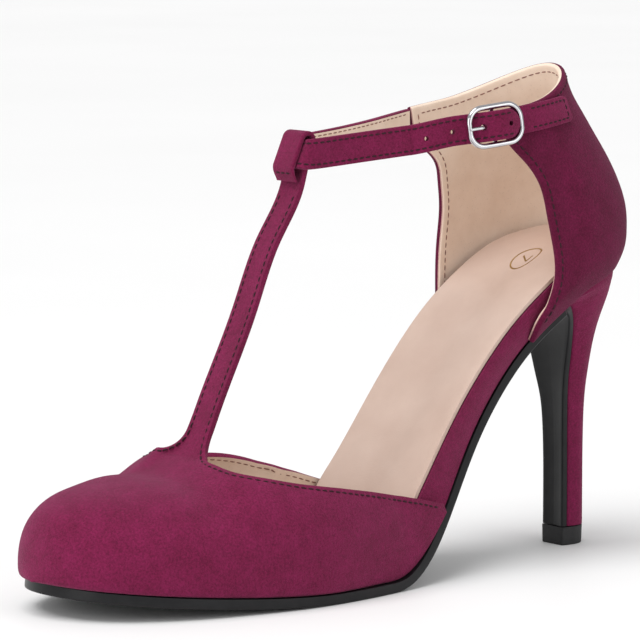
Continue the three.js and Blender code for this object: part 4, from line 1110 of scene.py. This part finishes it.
ring_swing = np.linspace(0, 2 * np.pi, 73)
bar_x, bar_y = np.full(9, mark_x + digit_top), mark_y + np.linspace(digit_half, -digit_half, 9)
leg_t = np.linspace(0, 1, 13)
leg_x, leg_y = bar_x[0] - digit_height * leg_t, mark_y - digit_half + digit_slant * leg_t
foil_points, foil_faces, foil_start = [], [], 0
for strip in (
    foil_strip(mark_x + mark_radius * np.cos(ring_swing), mark_y + mark_radius * np.sin(ring_swing), True),
    foil_strip(bar_x, bar_y), foil_strip(leg_x, leg_y),
):
    foil_faces.append(grid_faces(*strip.shape[:2], wrap=True, start=foil_start))
    foil_points.append(strip.reshape(-1, 3))
    foil_start += len(foil_points[-1])
make_piece("size_mark", np.concatenate(foil_points), np.concatenate(foil_faces), [gold_foil], "sock")

# %% [markdown]
# ## Heel and sole
# The heel is moulded plastic, covered in suede before it is fixed under the seat. It is a stack of D
# shaped rings, flat in front, that grow and tilt from the small tip to the seat.

# %% Heel rows
heel_table = np.array([
    # rise, front, tilt, back, half, swell
    [0.00, 0.00, 0.00, 0.00, 0.00, 0.06], [0.20, 0.00, 0.00, 0.00, 0.00, 0.06],
    [0.46, 0.03, 0.05, 0.01, 0.02, 0.06], [0.58, 0.08, 0.10, 0.05, 0.07, 0.06],
    [0.68, 0.16, 0.20, 0.13, 0.17, 0.07], [0.77, 0.21, 0.34, 0.24, 0.28, 0.08],
    [0.85, 0.30, 0.50, 0.42, 0.41, 0.10], [0.92, 0.48, 0.68, 0.64, 0.59, 0.13],
    [0.97, 0.72, 0.85, 0.84, 0.78, 0.15], [1.00, 1.00, 1.00, 1.00, 1.00, 0.17],
])
heel_front, heel_tilt, heel_back, heel_half, heel_swell = splines(heel_table)
heel_base = top_piece_thickness + fit_gap
breast_y = 0.863 * insole_length
under_breast = over(breast_y, 0.0, -sole_thickness)[2]
seat_tilt = bottom_height(insole_length) - fit_gap - under_breast
print("heel", round(float(under_breast - heel_base), 1), "mm high in front, over its wearing piece")


def heel_row(rise):
    """Front and back in Y and Z, half width and swell of a ring at a share of the heel's height."""
    z = mix(heel_base, under_breast, rise)
    front = points_of(mix(stem_front, breast_y, heel_front(rise)), z)
    back = points_of(mix(stem_back, insole_length, heel_back(rise)), z + seat_tilt * heel_tilt(rise))
    half = mix(heel_tip_width / 2, heel_top_half, heel_half(rise))
    return front, back, half, heel_swell(rise)


def breast_normal(rise):
    go = unit(heel_row(rise + 0.01)[0] - heel_row(rise - 0.01)[0])
    return points_of(go[..., 1], -go[..., 0])


def behind_breast(rise, depth):
    return heel_row(rise)[0] + depth * breast_normal(rise)


def d_rings(front, back, half, swell):
    """D shaped rings: a flat front with eased corners, sides that swell a little, and a half ellipse
    at the back."""
    side = 0.4
    flat, bend = np.linspace(0, 0.94, 6), np.linspace(0.04, side, 9)
    arc = np.radians(np.linspace(0, 90, 14))[1:-1]
    along = np.concatenate([0 * flat, [0.012], bend, mix(side, 1, np.sin(arc)), [1.0]])
    plain = np.concatenate([flat, [0.985], 1 + 0 * bend, np.cos(arc), [0.0]])
    swollen = np.concatenate([0 * flat, [0.0], np.sin(np.pi / 2 * bend / side), np.cos(arc), [0.0]])
    along = np.concatenate([along, along[-2:0:-1]])
    sign = np.concatenate([np.ones(len(plain)), -np.ones(len(plain) - 2)])
    plain, swollen = (np.concatenate([v, v[-2:0:-1]]) for v in (plain, swollen))
    x = sign * np.asarray(half)[:, None] * (plain + np.asarray(swell)[:, None] * swollen)
    return points_of(
        x, mix(front[:, :1], back[:, :1], along), mix(front[:, 1:], back[:, 1:], along),
    )


# %% Turn of the sole down the heel
half_sole = sole_thickness / 2
waist_end = float(turn_at((breast_y - turn_lead) / insole_length))
sole_start, sole_rows, turn_rows, tongue_rows = 0.003, 130, 20, 60
sole_turns = np.linspace(sole_start, waist_end, sole_rows)
sole_y = insole_length * along_at(sole_turns)
sole_slope = bottom_slope(sole_y)
slope = bottom_slope(breast_y - turn_lead)
start = over(breast_y - turn_lead, 0.0, -half_sole)[1:]
go_along = np.array([np.cos(slope), np.sin(slope)])
end = behind_breast(tongue_top, tongue_thickness / 2)
end_normal = breast_normal(tongue_top)
go_down = np.array([end_normal[1], -end_normal[0]])
to_end = end - start
reach = (to_end[0] * go_down[1] - to_end[1] * go_down[0]) / (
    go_along[0] * go_down[1] - go_along[1] * go_down[0]
)
corner = start + reach * go_along
t = np.linspace(0, 1, turn_rows + 2)[1:-1, None]
turn_centre = (1 - t) ** 2 * start + 2 * t * (1 - t) * corner + t**2 * end
turn_go = unit((1 - t) * (corner - start) + t * (end - corner))
turn_normal = points_of(-turn_go[:, 1], turn_go[:, 0])


# %% Heel and its wearing piece
lining_depth = tongue_thickness + fit_gap
# Up to the turn the front follows the tongue, then the sole's upper side round the turn to the seat
low_rows, top_rows = 72, 15
rises = np.concatenate([
    np.linspace(0, tongue_top, low_rows), np.linspace(tongue_top, 1, top_rows + 1)[1:],
])
_, backs, halves, swells = heel_row(rises)
above = turn_centre + (mix(sole_thickness, tongue_thickness, t) / 2 + fit_gap) * turn_normal
fronts = behind_breast(rises, lining_depth)
fronts[low_rows:] = above[::-1][np.linspace(0, len(above) - 3, top_rows).astype(int)]
heel_rings = d_rings(fronts, backs, halves, swells)
# The top closes in to the cup's foot, and lies just under the seat
seat_y = np.clip(heel_rings[..., 1] / insole_length, 0, 1)
limit_growth, limit_power = 60, 6
limit = sole_width(turn_at(seat_y), heel_rings[..., 0]) + seat_overhang + limit_growth * (1 - rises[:, None])
heel_rings[..., 0] /= (1 + (np.abs(heel_rings[..., 0]) / limit) ** limit_power) ** (1 / limit_power)
under_seat = bottom_height(heel_rings[..., 1]) - fit_gap
heel_rings[..., 2] = np.minimum(heel_rings[..., 2], under_seat)
heel_rings[-1, :, 2] = under_seat[-1]
make_loft("covered_heel", heel_rings, [suede], "heel", "heel")

tip_z = np.array([0.0, 0.12, 0.35, 2.0, 4.0, top_piece_thickness])
tip_grow = np.array([-0.28, -0.08, 0.0, 0.05, 0.1, top_piece_flare])
tip_front = points_of(stem_front - np.minimum(tip_grow, 0), tip_z)
tip_back = points_of(stem_back + tip_grow, tip_z)
tip_rings = d_rings(tip_front, tip_back, heel_tip_width / 2 + tip_grow, 0 * tip_z + heel_table[0, -1])
make_loft("heel_tip", tip_rings, [tip_black], "heel_top_piece", "heel_top_piece", sharp=50)


# %% [markdown]
# The sole's section is a thin oblong with its lower edges eased. At the waist it leaves the board along
# a short curve and runs down the heel as the tongue, whose front is slightly hollow between two rims.

# %% Outsole
def sole_rings(centre, normal, inner, outer, thickness, hollow):
    """Oblong across the shoe, eased below, hollowed below by a parabola."""
    flat, arc = np.linspace(-1, 1, 13), np.radians(np.linspace(0, 90, 6))
    below, corner = flat[::-1][1:-1], 0 * arc + 1
    reach = np.concatenate([flat, corner, below, -corner])
    eased = np.concatenate([0 * flat, 1 - np.cos(arc), 0 * below + 1, (1 - np.cos(arc))[::-1]])
    level = np.concatenate([0 * flat + 1, -corner, 0 * below - 1, -corner])
    lift = np.concatenate([0 * flat, 1 - np.sin(arc), 0 * below, (1 - np.sin(arc))[::-1]])
    dish = np.concatenate([0 * flat, 0 * arc, 1 - below**2, 0 * arc])
    width = np.where(reach > 0, outer[:, None], inner[:, None])
    x = reach * width - np.sign(reach) * sole_edge * eased
    h = level * thickness[:, None] / 2 + sole_edge * lift + dish * hollow[:, None]
    return points_of(x, centre[:, :1] + h * normal[:, :1], centre[:, 1:] + h * normal[:, 1:])


flat_part = [
    over(sole_y, 0.0, -half_sole)[:, 1:], points_of(-np.sin(sole_slope), np.cos(sole_slope)),
    sole_width(sole_turns, -1), sole_width(sole_turns, 1),
    np.full(sole_rows, sole_thickness), np.zeros(sole_rows),
]
turn_inner, turn_outer = (
    mix(float(sole_width(waist_end, sign)), heel_row(tongue_top)[2], t[:, 0]) for sign in (-1, 1)
)
turn_part = [
    turn_centre, turn_normal, turn_inner, turn_outer,
    mix(sole_thickness, tongue_thickness, t[:, 0]), tongue_hollow * smooth(t[:, 0]),
]
down = np.linspace(tongue_top, 0, tongue_rows)
down_half = heel_row(down)[2]
tongue_part = [
    behind_breast(down, tongue_thickness / 2), breast_normal(down), down_half, down_half,
    np.full(tongue_rows, tongue_thickness), np.full(tongue_rows, tongue_hollow),
]
sole = sole_rings(*(np.concatenate(parts) for parts in zip(flat_part, turn_part, tongue_part)))
make_loft("sole_and_tongue", sole, [sole_black], "outsole", "outsole", sharp=50)

# %% [markdown]
# ## Buckle frame of reference
# The buckle sits on the outer side of the ankle. Places near it are given along the strap towards the
# back, up, and out from the ankle.

# %% Near the buckle
buckle_at, buckle_along, buckle_up, buckle_out = strap_frame(quarter_at(buckle_y), 0)
buckle_at = buckle_at + buckle_rise * buckle_up


def by_buckle(along, up, out):
    along, up, out = (np.asarray(v, float)[..., None] for v in (along, up, out))
    return buckle_at + along * buckle_along + up * buckle_up + out * buckle_out


def oval_by(along):
    """The ankle oval near the buckle, as steps along, up and out."""
    away = strap_frame(quarter_at(buckle_y + along), 0)[0] - buckle_at
    return away @ buckle_along, away @ buckle_up, away @ buckle_out


bar_reach = (buckle_length - buckle_bar) / 2
loop_outer = centre_bar / 2 + bar_clearance + tab_thickness
frame_level = oval_by(bar_reach)[2] + 2 * fit_gap + tab_thickness + buckle_bar / 2
hump_level = centre_level + loop_outer + 1.5 * fit_gap + strap_thickness
tip_reach = bar_reach - buckle_bar / 2 - fit_gap
near_reach = 3 * bar_reach
strap_level = spline(
    [-near_reach, -2 * bar_reach, -bar_reach, 0, tip_reach],
    [
        oval_by(-near_reach)[2], oval_by(-2 * bar_reach)[2], frame_level - buckle_bar / 2 - under_bar,
        hump_level, oval_by(tip_reach)[2] + 2 * fit_gap + tab_thickness + strap_thickness,
    ],
)


def strap_shift(along):
    return buckle_rise * smooth((along / bar_reach + 3) / 1.8)


print("buckle frame", round(float(frame_level), 2), "mm out from the ankle's oval")

# %% [markdown]
# ## Ankle strap
# The ankle strap is a narrow lined band, sewn into the inner wing of the heel cup. It passes through the
# T strap's loop and ends in a rounded tip with punched holes. The band is swept along the oval; near the
# buckle its path rises under the front bar and over the tab. Real holes are cut through it.

# %% Ankle strap
near_start = float(quarter_at(buckle_y - near_reach))
round_quarters = np.concatenate([
    np.linspace(-float(quarter_at(wing_front[-1])) - seam_step, -2, 60),
    np.linspace(2, near_start, 44)[1:],
])
far_at, _, far_up, far_out = strap_frame(round_quarters, -strap_thickness / 2)
near = np.linspace(-near_reach, tip_reach, 90)
near_back, near_up, _ = oval_by(near)
near_centre = by_buckle(near_back, near_up + strap_shift(near), strap_level(near) - strap_thickness / 2)
near_go = unit(np.gradient(near_centre, axis=0))
near_rise = square_to(strap_frame(quarter_at(buckle_y + near), 0)[2], near_go)
near_face = np.cross(near_go, near_rise)
from_tip = np.clip((tip_reach - near) / tip_round, 0, 1)
near_width = ankle_strap_width * np.maximum(np.sqrt(1 - (1 - from_tip) ** 2), 0.12)
strap_centres = np.concatenate([far_at, near_centre[1:]])
strap_ups = np.concatenate([far_up, near_rise[1:]])
strap_outs = np.concatenate([far_out, near_face[1:]])
strap_widths = np.concatenate([np.full(len(far_at), ankle_strap_width), near_width[1:]])
strap_rings, strap_kinds = band(strap_centres, strap_ups, strap_outs, strap_widths, strap_thickness)
ankle_strap = make_loft(
    "ankle_strap_band", strap_rings, [suede, lining], "ankle_strap", "ankle_strap", kinds=strap_kinds,
)

# %% [markdown]
# A hole punch takes out a small round plug. A Boolean modifier does the same with a mesh of cylinders,
# or with a block for the tab's slot. Its result is kept as the piece's own mesh, and the tools are
# thrown away.

# %% Punch helper
def punch(piece, tools):
    """Cuts a mesh of tools, given as a bmesh in the part's frame, out of a piece."""
    mesh = bpy.data.meshes.new("punch")
    bmesh.ops.recalc_face_normals(tools, faces=tools.faces)
    tools.to_mesh(mesh)
    tools.free()
    tool = link("punch", mesh)
    cut = piece.modifiers.new("punch", "BOOLEAN")
    cut.operation = "DIFFERENCE"
    cut.solver = "EXACT"
    cut.object = tool
    bpy.context.view_layer.update()
    result = bpy.data.meshes.new_from_object(piece.evaluated_get(bpy.context.evaluated_depsgraph_get()))
    piece.modifiers.remove(cut)
    before, piece.data = piece.data, result
    bpy.data.meshes.remove(before)
    bpy.data.objects.remove(tool)
    result.set_sharp_from_angle(angle=math.radians(40))
    print(piece.name, "punched,", len(result.polygons), "faces")


def buckle_matrix(along, up, out):
    """Place and directions for a tool: its X along the strap, its Y up it, its Z out of it."""
    return stand(buckle_along, buckle_up, buckle_out, to_frame(by_buckle(along, up, out))[0])


# %% Strap holes
hole_count, used_hole = 4, 2
tools = bmesh.new()
for k in range(hole_count):
    hole_along = prong_hole + (k - used_hole) * hole_pitch
    wide = strap_hole + prong_diameter / 3 if k == used_hole else strap_hole
    place = buckle_matrix(
        hole_along, strap_shift(hole_along) - buckle_rise, strap_level(hole_along) - strap_thickness / 2,
    )
    bmesh.ops.create_cone(
        tools, cap_ends=True, segments=28, radius1=wide / 2000, radius2=wide / 2000,
        depth=3 * strap_thickness / 1000, matrix=place,
    )
punch(ankle_strap, tools)

# %% [markdown]
# ## Buckle tab
# The tab is a short suede strap sewn flat on the outer wing. It runs forward, wraps the buckle's centre
# bar and comes back behind it. Its line lies on the heel cup: for each place along it, the cup's
# surface is looked up at the tab's lower and upper edge.

# %% Tab
wing_arounds = np.linspace(0, 0.5, 3001)
wing_y = cup_point(wing_arounds, 0.9)[:, 1]


def on_cup(y, z):
    """Point of the cup at a given Y and Z. Height is a straight line in the rise, so it is solved."""
    around = np.interp(y, wing_y, wing_arounds)
    low, high = cup_point(around, 0.0)[..., 2], cup_point(around, 1.0)[..., 2]
    return cup_point(around, (z - low) / (high - low))


tab_along = np.linspace(tab_end_y - buckle_y, loop_outer + tab_lead, 60)
tab_y = buckle_y + tab_along
tab_round, tab_end_share = 2.4, 0.72
from_end = np.clip((tab_along[0] - tab_along) / tab_round, 0, 1)
tab_widths = tab_width * (tab_end_share + (1 - tab_end_share) * np.sqrt(1 - (1 - from_end) ** 2))
tab_at, _, _, tab_out = strap_frame(quarter_at(tab_y), 0)
tab_low, tab_high = (on_cup(tab_y, tab_at[:, 2] + buckle_rise + side * tab_width / 2) for side in (-1, 1))
tab_up = unit(tab_high - tab_low)
tab_centre = (tab_low + tab_high) / 2 + (fit_gap + tab_thickness / 2) * tab_out
loop_radius = centre_bar / 2 + bar_clearance + tab_thickness / 2
loop_swing = np.radians(np.linspace(90, 270, 25))
loop_path = np.vstack([
    [[loop_outer + 1.6, centre_level + 0.8 * loop_radius], [loop_outer - 0.4, centre_level + loop_radius]],
    np.column_stack([loop_radius * np.cos(loop_swing), centre_level + loop_radius * np.sin(loop_swing)]),
    [[tab_tail / 2, centre_level - loop_radius], [tab_tail, centre_level - loop_radius]],
])
loop_go = unit(np.gradient(loop_path, axis=0))
loop_centre = by_buckle(loop_path[:, 0], 0.0, loop_path[:, 1])
loop_face = loop_go[:, 1:] * buckle_along - loop_go[:, :1] * buckle_out
tab_rings, _ = band(
    np.concatenate([tab_centre, loop_centre]),
    np.concatenate([tab_up, np.broadcast_to(buckle_up, loop_centre.shape)]),
    np.concatenate([tab_out, loop_face]),
    np.concatenate([tab_widths, np.full(len(loop_path), tab_width)]), tab_thickness, ease=0.3,
)
buckle_tab = make_loft("suede_tab", tab_rings, [suede], "buckle_tab", "buckle_tab")
tools = bmesh.new()
bmesh.ops.create_cube(tools, size=0.001, matrix=buckle_matrix(0, 0, centre_level) @ Matrix.Diagonal(
    (2 * loop_outer + 1.4, prong_diameter + 2 * fit_gap, 2 * loop_outer + 1, 1)
))
punch(buckle_tab, tools)

# %% [markdown]
# ## Buckle
# The buckle is cast in one: a ring with rounded corners and a bar across its middle. The prong is a
# bent wire, hooked round the bar, that comes up through a strap hole and rests on the ring. Both are
# round bars swept along a path.

# %% Round bar helper
def round_bar(path, flat, diameter, closed, sides=20):
    """Circles along a path that stays square to one direction, flat."""
    if closed:
        go = np.roll(path, -1, axis=0) - np.roll(path, 1, axis=0)
    else:
        go = np.gradient(path, axis=0)
    side = np.cross(unit(go), flat)
    swing = np.linspace(0, 2 * np.pi, sides, endpoint=False)[:, None]
    return path[:, None] + diameter / 2 * (np.cos(swing) * side[:, None] + np.sin(swing) * flat)


# %% Ring and centre bar
high = (buckle_height - buckle_bar) / 2
quarter_turns = np.radians(np.linspace(0, 360, 97)[:-1])
ring_along = np.where(np.cos(quarter_turns) >= 0, 1, -1) * (bar_reach - buckle_corner)
ring_up = np.where(np.sin(quarter_turns) >= 0, 1, -1) * (high - buckle_corner)
ring_path = by_buckle(
    ring_along + buckle_corner * np.cos(quarter_turns), ring_up + buckle_corner * np.sin(quarter_turns),
    frame_level,
)
ring = round_bar(ring_path, buckle_out, buckle_bar, True)
ring = np.concatenate([ring, ring[:1]])
make_piece(
    "buckle_ring", ring, grid_faces(*ring.shape[:2], wrap=True), [chrome], "buckle_frame", "buckle_frame",
)
bar_half = tab_width / 2 + fit_gap
bar_ups = np.array([-1, -0.97, -bar_half / high, bar_half / high, 0.97, 1]) * high
bar_step = mix(frame_level, centre_level, 0.6)
bar_outs = np.array([frame_level, bar_step, centre_level, centre_level, bar_step, frame_level])
make_loft(
    "buckle_centre_bar",
    round_bar(by_buckle(0.0, bar_ups, bar_outs), buckle_along, centre_bar, False), [chrome], "buckle_frame",
)

# %% Prong
eye_radius = centre_bar / 2 + bar_clearance + prong_diameter / 2
eye_swing = np.radians(np.linspace(210, 450, 15))
rest = frame_level + (buckle_bar + prong_diameter) / 2 + fit_gap
prong_knots = np.vstack([
    np.column_stack([eye_radius * np.cos(eye_swing), centre_level + eye_radius * np.sin(eye_swing)]),
    [
        [-1.2, centre_level + 1], [-2.2, centre_level + 0.3], [prong_hole + 1.1, centre_level],
        [prong_hole + 0.4, centre_level + 0.4], [prong_hole, mix(centre_level, rest, 0.45)],
        [prong_hole - 0.15, mix(centre_level, rest, 0.8)], [prong_hole - 0.9, rest + 0.1],
        [mix(prong_hole, -bar_reach, 0.6), rest + 0.15], [-bar_reach, rest], [-bar_reach - 0.9, rest - 0.15],
    ],
])
prong_chords = reach_along(prong_knots)
prong_run = np.linspace(0, prong_chords[-1], 110)
prong_along, prong_level = (line(prong_run) for line in splines(np.column_stack([prong_chords, prong_knots])))
prong_path = by_buckle(prong_along, 0.0, prong_level)
prong = round_bar(prong_path, buckle_up, prong_diameter, False, 16)
blunt = np.clip((prong_chords[-1] - prong_run) / (prong_diameter / 2), 0, 1)
prong = mix(prong_path[:, None], prong, np.maximum(np.sqrt(1 - (1 - blunt) ** 2), 0.2)[:, None, None])
make_loft("buckle_wire", prong, [chrome], "buckle_prong", "buckle_prong")

# %% [markdown]
# ## The seams
# The upper is closed with rows of stitches a couple of millimetres inside each edge: along the topline
# and both edges of the T strap, round the heel cup, along the ankle strap, and in a U on the tab. On
# the lining, the same seams show as rows of brown thread.

# %% Seam through suede and lining
seam_inset, lining_inset, edge_inset, lining_radius = 1.4, 1.9, 1.3, 0.2
hidden_rows = 14


def sew(kind, which, line, normals, thickness, slot, inset, inner_inset):
    """Row of stitches outside, and the same seam's row on the lining, a wall's thickness further in."""
    stitch_row(f"{kind}_stitches_{which}", line, normals, thread, slot, inset)
    stitch_row(
        f"{kind}_lining_stitches_{which}", line - thickness * normals, -normals, lining_thread, slot,
        -inner_inset, radius=lining_radius,
    )


# %% Topline and T strap seams
first, last = tuck_columns + 2, fan.shape[1] - tuck_columns - 3
for side_name, sign, columns, edge in (
    ("outer", 1, slice(first, middle_column - root_columns), 0),
    ("inner", -1, slice(last, middle_column + root_columns, -1), -1),
):
    root_normal = fan_normals[-1, middle_column - sign * root_columns]
    edge_normals = unit(mix(root_normal, climb_normals, strap_blend))
    seam = np.concatenate([fan[-1, columns], strap_sheet[:-hidden_rows, edge]])
    seam_normals = np.concatenate([fan_normals[-1, columns], edge_normals[:-hidden_rows]])
    sew("topline", side_name, seam, seam_normals, wall, "vamp", sign * seam_inset, sign * seam_inset)

# %% Heel cup seams
front_rows = slice(6, -2)
cup_seams = (
    ("outer_front", cup[front_rows, 0], cup_normals[front_rows, 0]),
    ("inner_front", cup[front_rows, -1], cup_normals[front_rows, -1]),
    ("collar", cup[-1, 2:-2], cup_normals[-1, 2:-2]),
)
for seam_name, seam, seam_normals in cup_seams:
    sideways = np.cross(unit(seam_normals), unit(np.gradient(seam, axis=0)))
    half_way = len(seam) // 2
    wanted = [0, 1, 0] if "front" in seam_name else [0, 0, -1]
    sign = np.sign(np.dot(sideways[half_way], wanted))
    sew("cup", seam_name, seam, seam_normals, cup_wall, "counter", sign * seam_inset, sign * lining_inset)

# %% Ankle strap, fold and tab seams
bare_tip_rows, covered_back_rows = 8, 30
for side_name, sign in (("lower", -1), ("upper", 1)):
    offset = sign * (ankle_strap_width / 2 - edge_inset)
    rows = slice(1, len(strap_centres) - bare_tip_rows)
    face = strap_centres[rows] + offset * strap_ups[rows] + strap_thickness / 2 * strap_outs[rows]
    stitch_row("strap_stitches_" + side_name, face, strap_outs[rows], thread, "ankle_strap", pitch=2.1)
    rows = slice(1, len(far_at) - covered_back_rows)
    back = strap_centres[rows] + offset * strap_ups[rows] - strap_thickness / 2 * strap_outs[rows]
    stitch_row(
        "strap_lining_stitches_" + side_name, back, -strap_outs[rows], lining_thread, "ankle_strap",
        pitch=2.1, radius=0.18,
    )

flap_row = len(fold_path) - 5
flap_margin = 1.1
flap_x = np.linspace(flap_margin - fold_half, fold_half - flap_margin, 12)
flap_sign = 1 if fold_out[flap_row] @ np.append(0, loop_out[1:]) > 0 else -1
flap_face = fold_centres[flap_row] + flap_sign * fold_out[flap_row] * flap_thickness / 2
flap_line = flap_face + flap_x[:, None] * np.array([1.0, 0, 0])
flap_normals = np.broadcast_to(flap_sign * fold_out[flap_row], flap_line.shape)
stitch_row("fold_stitches", flap_line, flap_normals, thread, "vamp", pitch=1.8)

tab_rows = np.arange(4, 42)
tab_face = tab_centre + tab_thickness / 2 * tab_out
u_half, u_end = tab_width / 2 - edge_inset, tab_rows[0]
closing = np.linspace(1, -1, 9)[1:-1, None] * u_half * tab_up[u_end] + tab_face[u_end]
u_line = np.concatenate([
    (tab_face + u_half * tab_up)[tab_rows][::-1], closing, (tab_face - u_half * tab_up)[tab_rows],
])
u_normals = np.concatenate([
    tab_out[tab_rows][::-1], np.tile(tab_out[u_end], (len(closing), 1)), tab_out[tab_rows],
])
stitch_row("tab_stitches", u_line, u_normals, thread, "buckle_tab", pitch=2.0)

# %% [markdown]
# ## Studio
# The shoe stands on a plain pale floor in front of nothing, under large soft lights: a broad one above,
# one from the camera's left and a weaker one from the right. The camera looks at the shoe's outer front
# with a long lens, as a catalogue photographer does.

# %% Floor
floor_mesh = bpy.data.meshes.new("floor")
floor_mesh.from_pydata([(-6, -6, 0), (6, -6, 0), (6, 6, 0), (-6, 6, 0)], [], [(0, 1, 2, 3)])
floor = link("floor", floor_mesh)
floor_finish, tree, shader = new_material("pale_floor", Roughness=0.55, Specular_IOR_Level=0.3)
paint(tree, shader, mottle(tree, 3, 2, 0.87, 0.89))
floor_mesh.materials.append(floor_finish)
floor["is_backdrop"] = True

# %% Camera
azimuth, elevation = math.radians(51.5), math.radians(6.937)
right = np.array([math.cos(azimuth), math.sin(azimuth), 0])
backward = np.array([
    math.sin(azimuth) * math.cos(elevation), -math.cos(azimuth) * math.cos(elevation), math.sin(elevation),
])
upward = np.cross(backward, right)
aim_right, aim_up, aim_back, camera_distance = 83.229, 83.528, -7, 1200
aim = aim_right * right + aim_up * upward + [0, aim_back, 0]
camera_data = bpy.data.cameras.new("camera")
camera_data.sensor_width = 36
camera_data.lens = 242.15
camera_data.clip_end = 50
camera = link("camera", camera_data)
camera.matrix_world = stand(right, upward, backward, to_frame(aim + camera_distance * backward)[0])
bpy.context.scene.camera = camera
print("camera", camera_distance, "mm away, looking", round(math.degrees(elevation), 1), "degrees down")

# %% Lights
shoe_middle = to_frame([0, 105, 60])[0]


def soft_light(name, across, ahead, up, power):
    """Square light at a place given in metres along the camera's directions, aimed at the shoe."""
    data = bpy.data.lights.new(name, "AREA")
    data.shape = "SQUARE"
    data.size = 0.9
    data.energy = power
    flat_back = np.array([backward[0], backward[1], 0]) / math.cos(elevation)
    place = shoe_middle + across * right + ahead * flat_back + np.array([0, 0, up])
    out = unit(place - shoe_middle)
    side = unit(np.cross([0, 0, 1], out) + [1e-6, 0, 0])
    link(name, data).matrix_world = stand(side, np.cross(out, side), out, place)


soft_light("left", -1.0, 1.0, 0.35, 6)
soft_light("right", 1.1, 0.9, 0.4, 4)
soft_sun = bpy.data.lights.new("soft_sun", "SUN")
soft_sun.energy = 2.1
soft_sun.angle = math.radians(45)
sun_from = unit(-0.35 * right + 0.3 * backward + [0, 0, 1])
sun_side = unit(np.cross([0, 1, 0], sun_from))
link("soft_sun", soft_sun).matrix_world = stand(sun_side, np.cross(sun_from, sun_side), sun_from, [0, 0, 0])
world = bpy.data.worlds.new("studio")
world.use_nodes = True
backdrop = world.node_tree.nodes["Background"].inputs
backdrop["Color"].default_value = (1, 1, 1, 1)
backdrop["Strength"].default_value = 0.55
bpy.context.scene.world = world
bpy.context.scene.view_settings.view_transform = "Standard"
print("two soft lights, a soft sun and a pale world")

# %% [markdown]
# ## Size
# The dressed part is meant to be as large as the solids: both boxes are measured, and the most they differ by
# is printed.

visual_box = [list(corner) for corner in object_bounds()]
growth = np.abs(np.array(visual_box) - np.array(cad_box)).max() * 1000
print("box differs from the solids' box by", round(float(growth), 2), "mm at most")
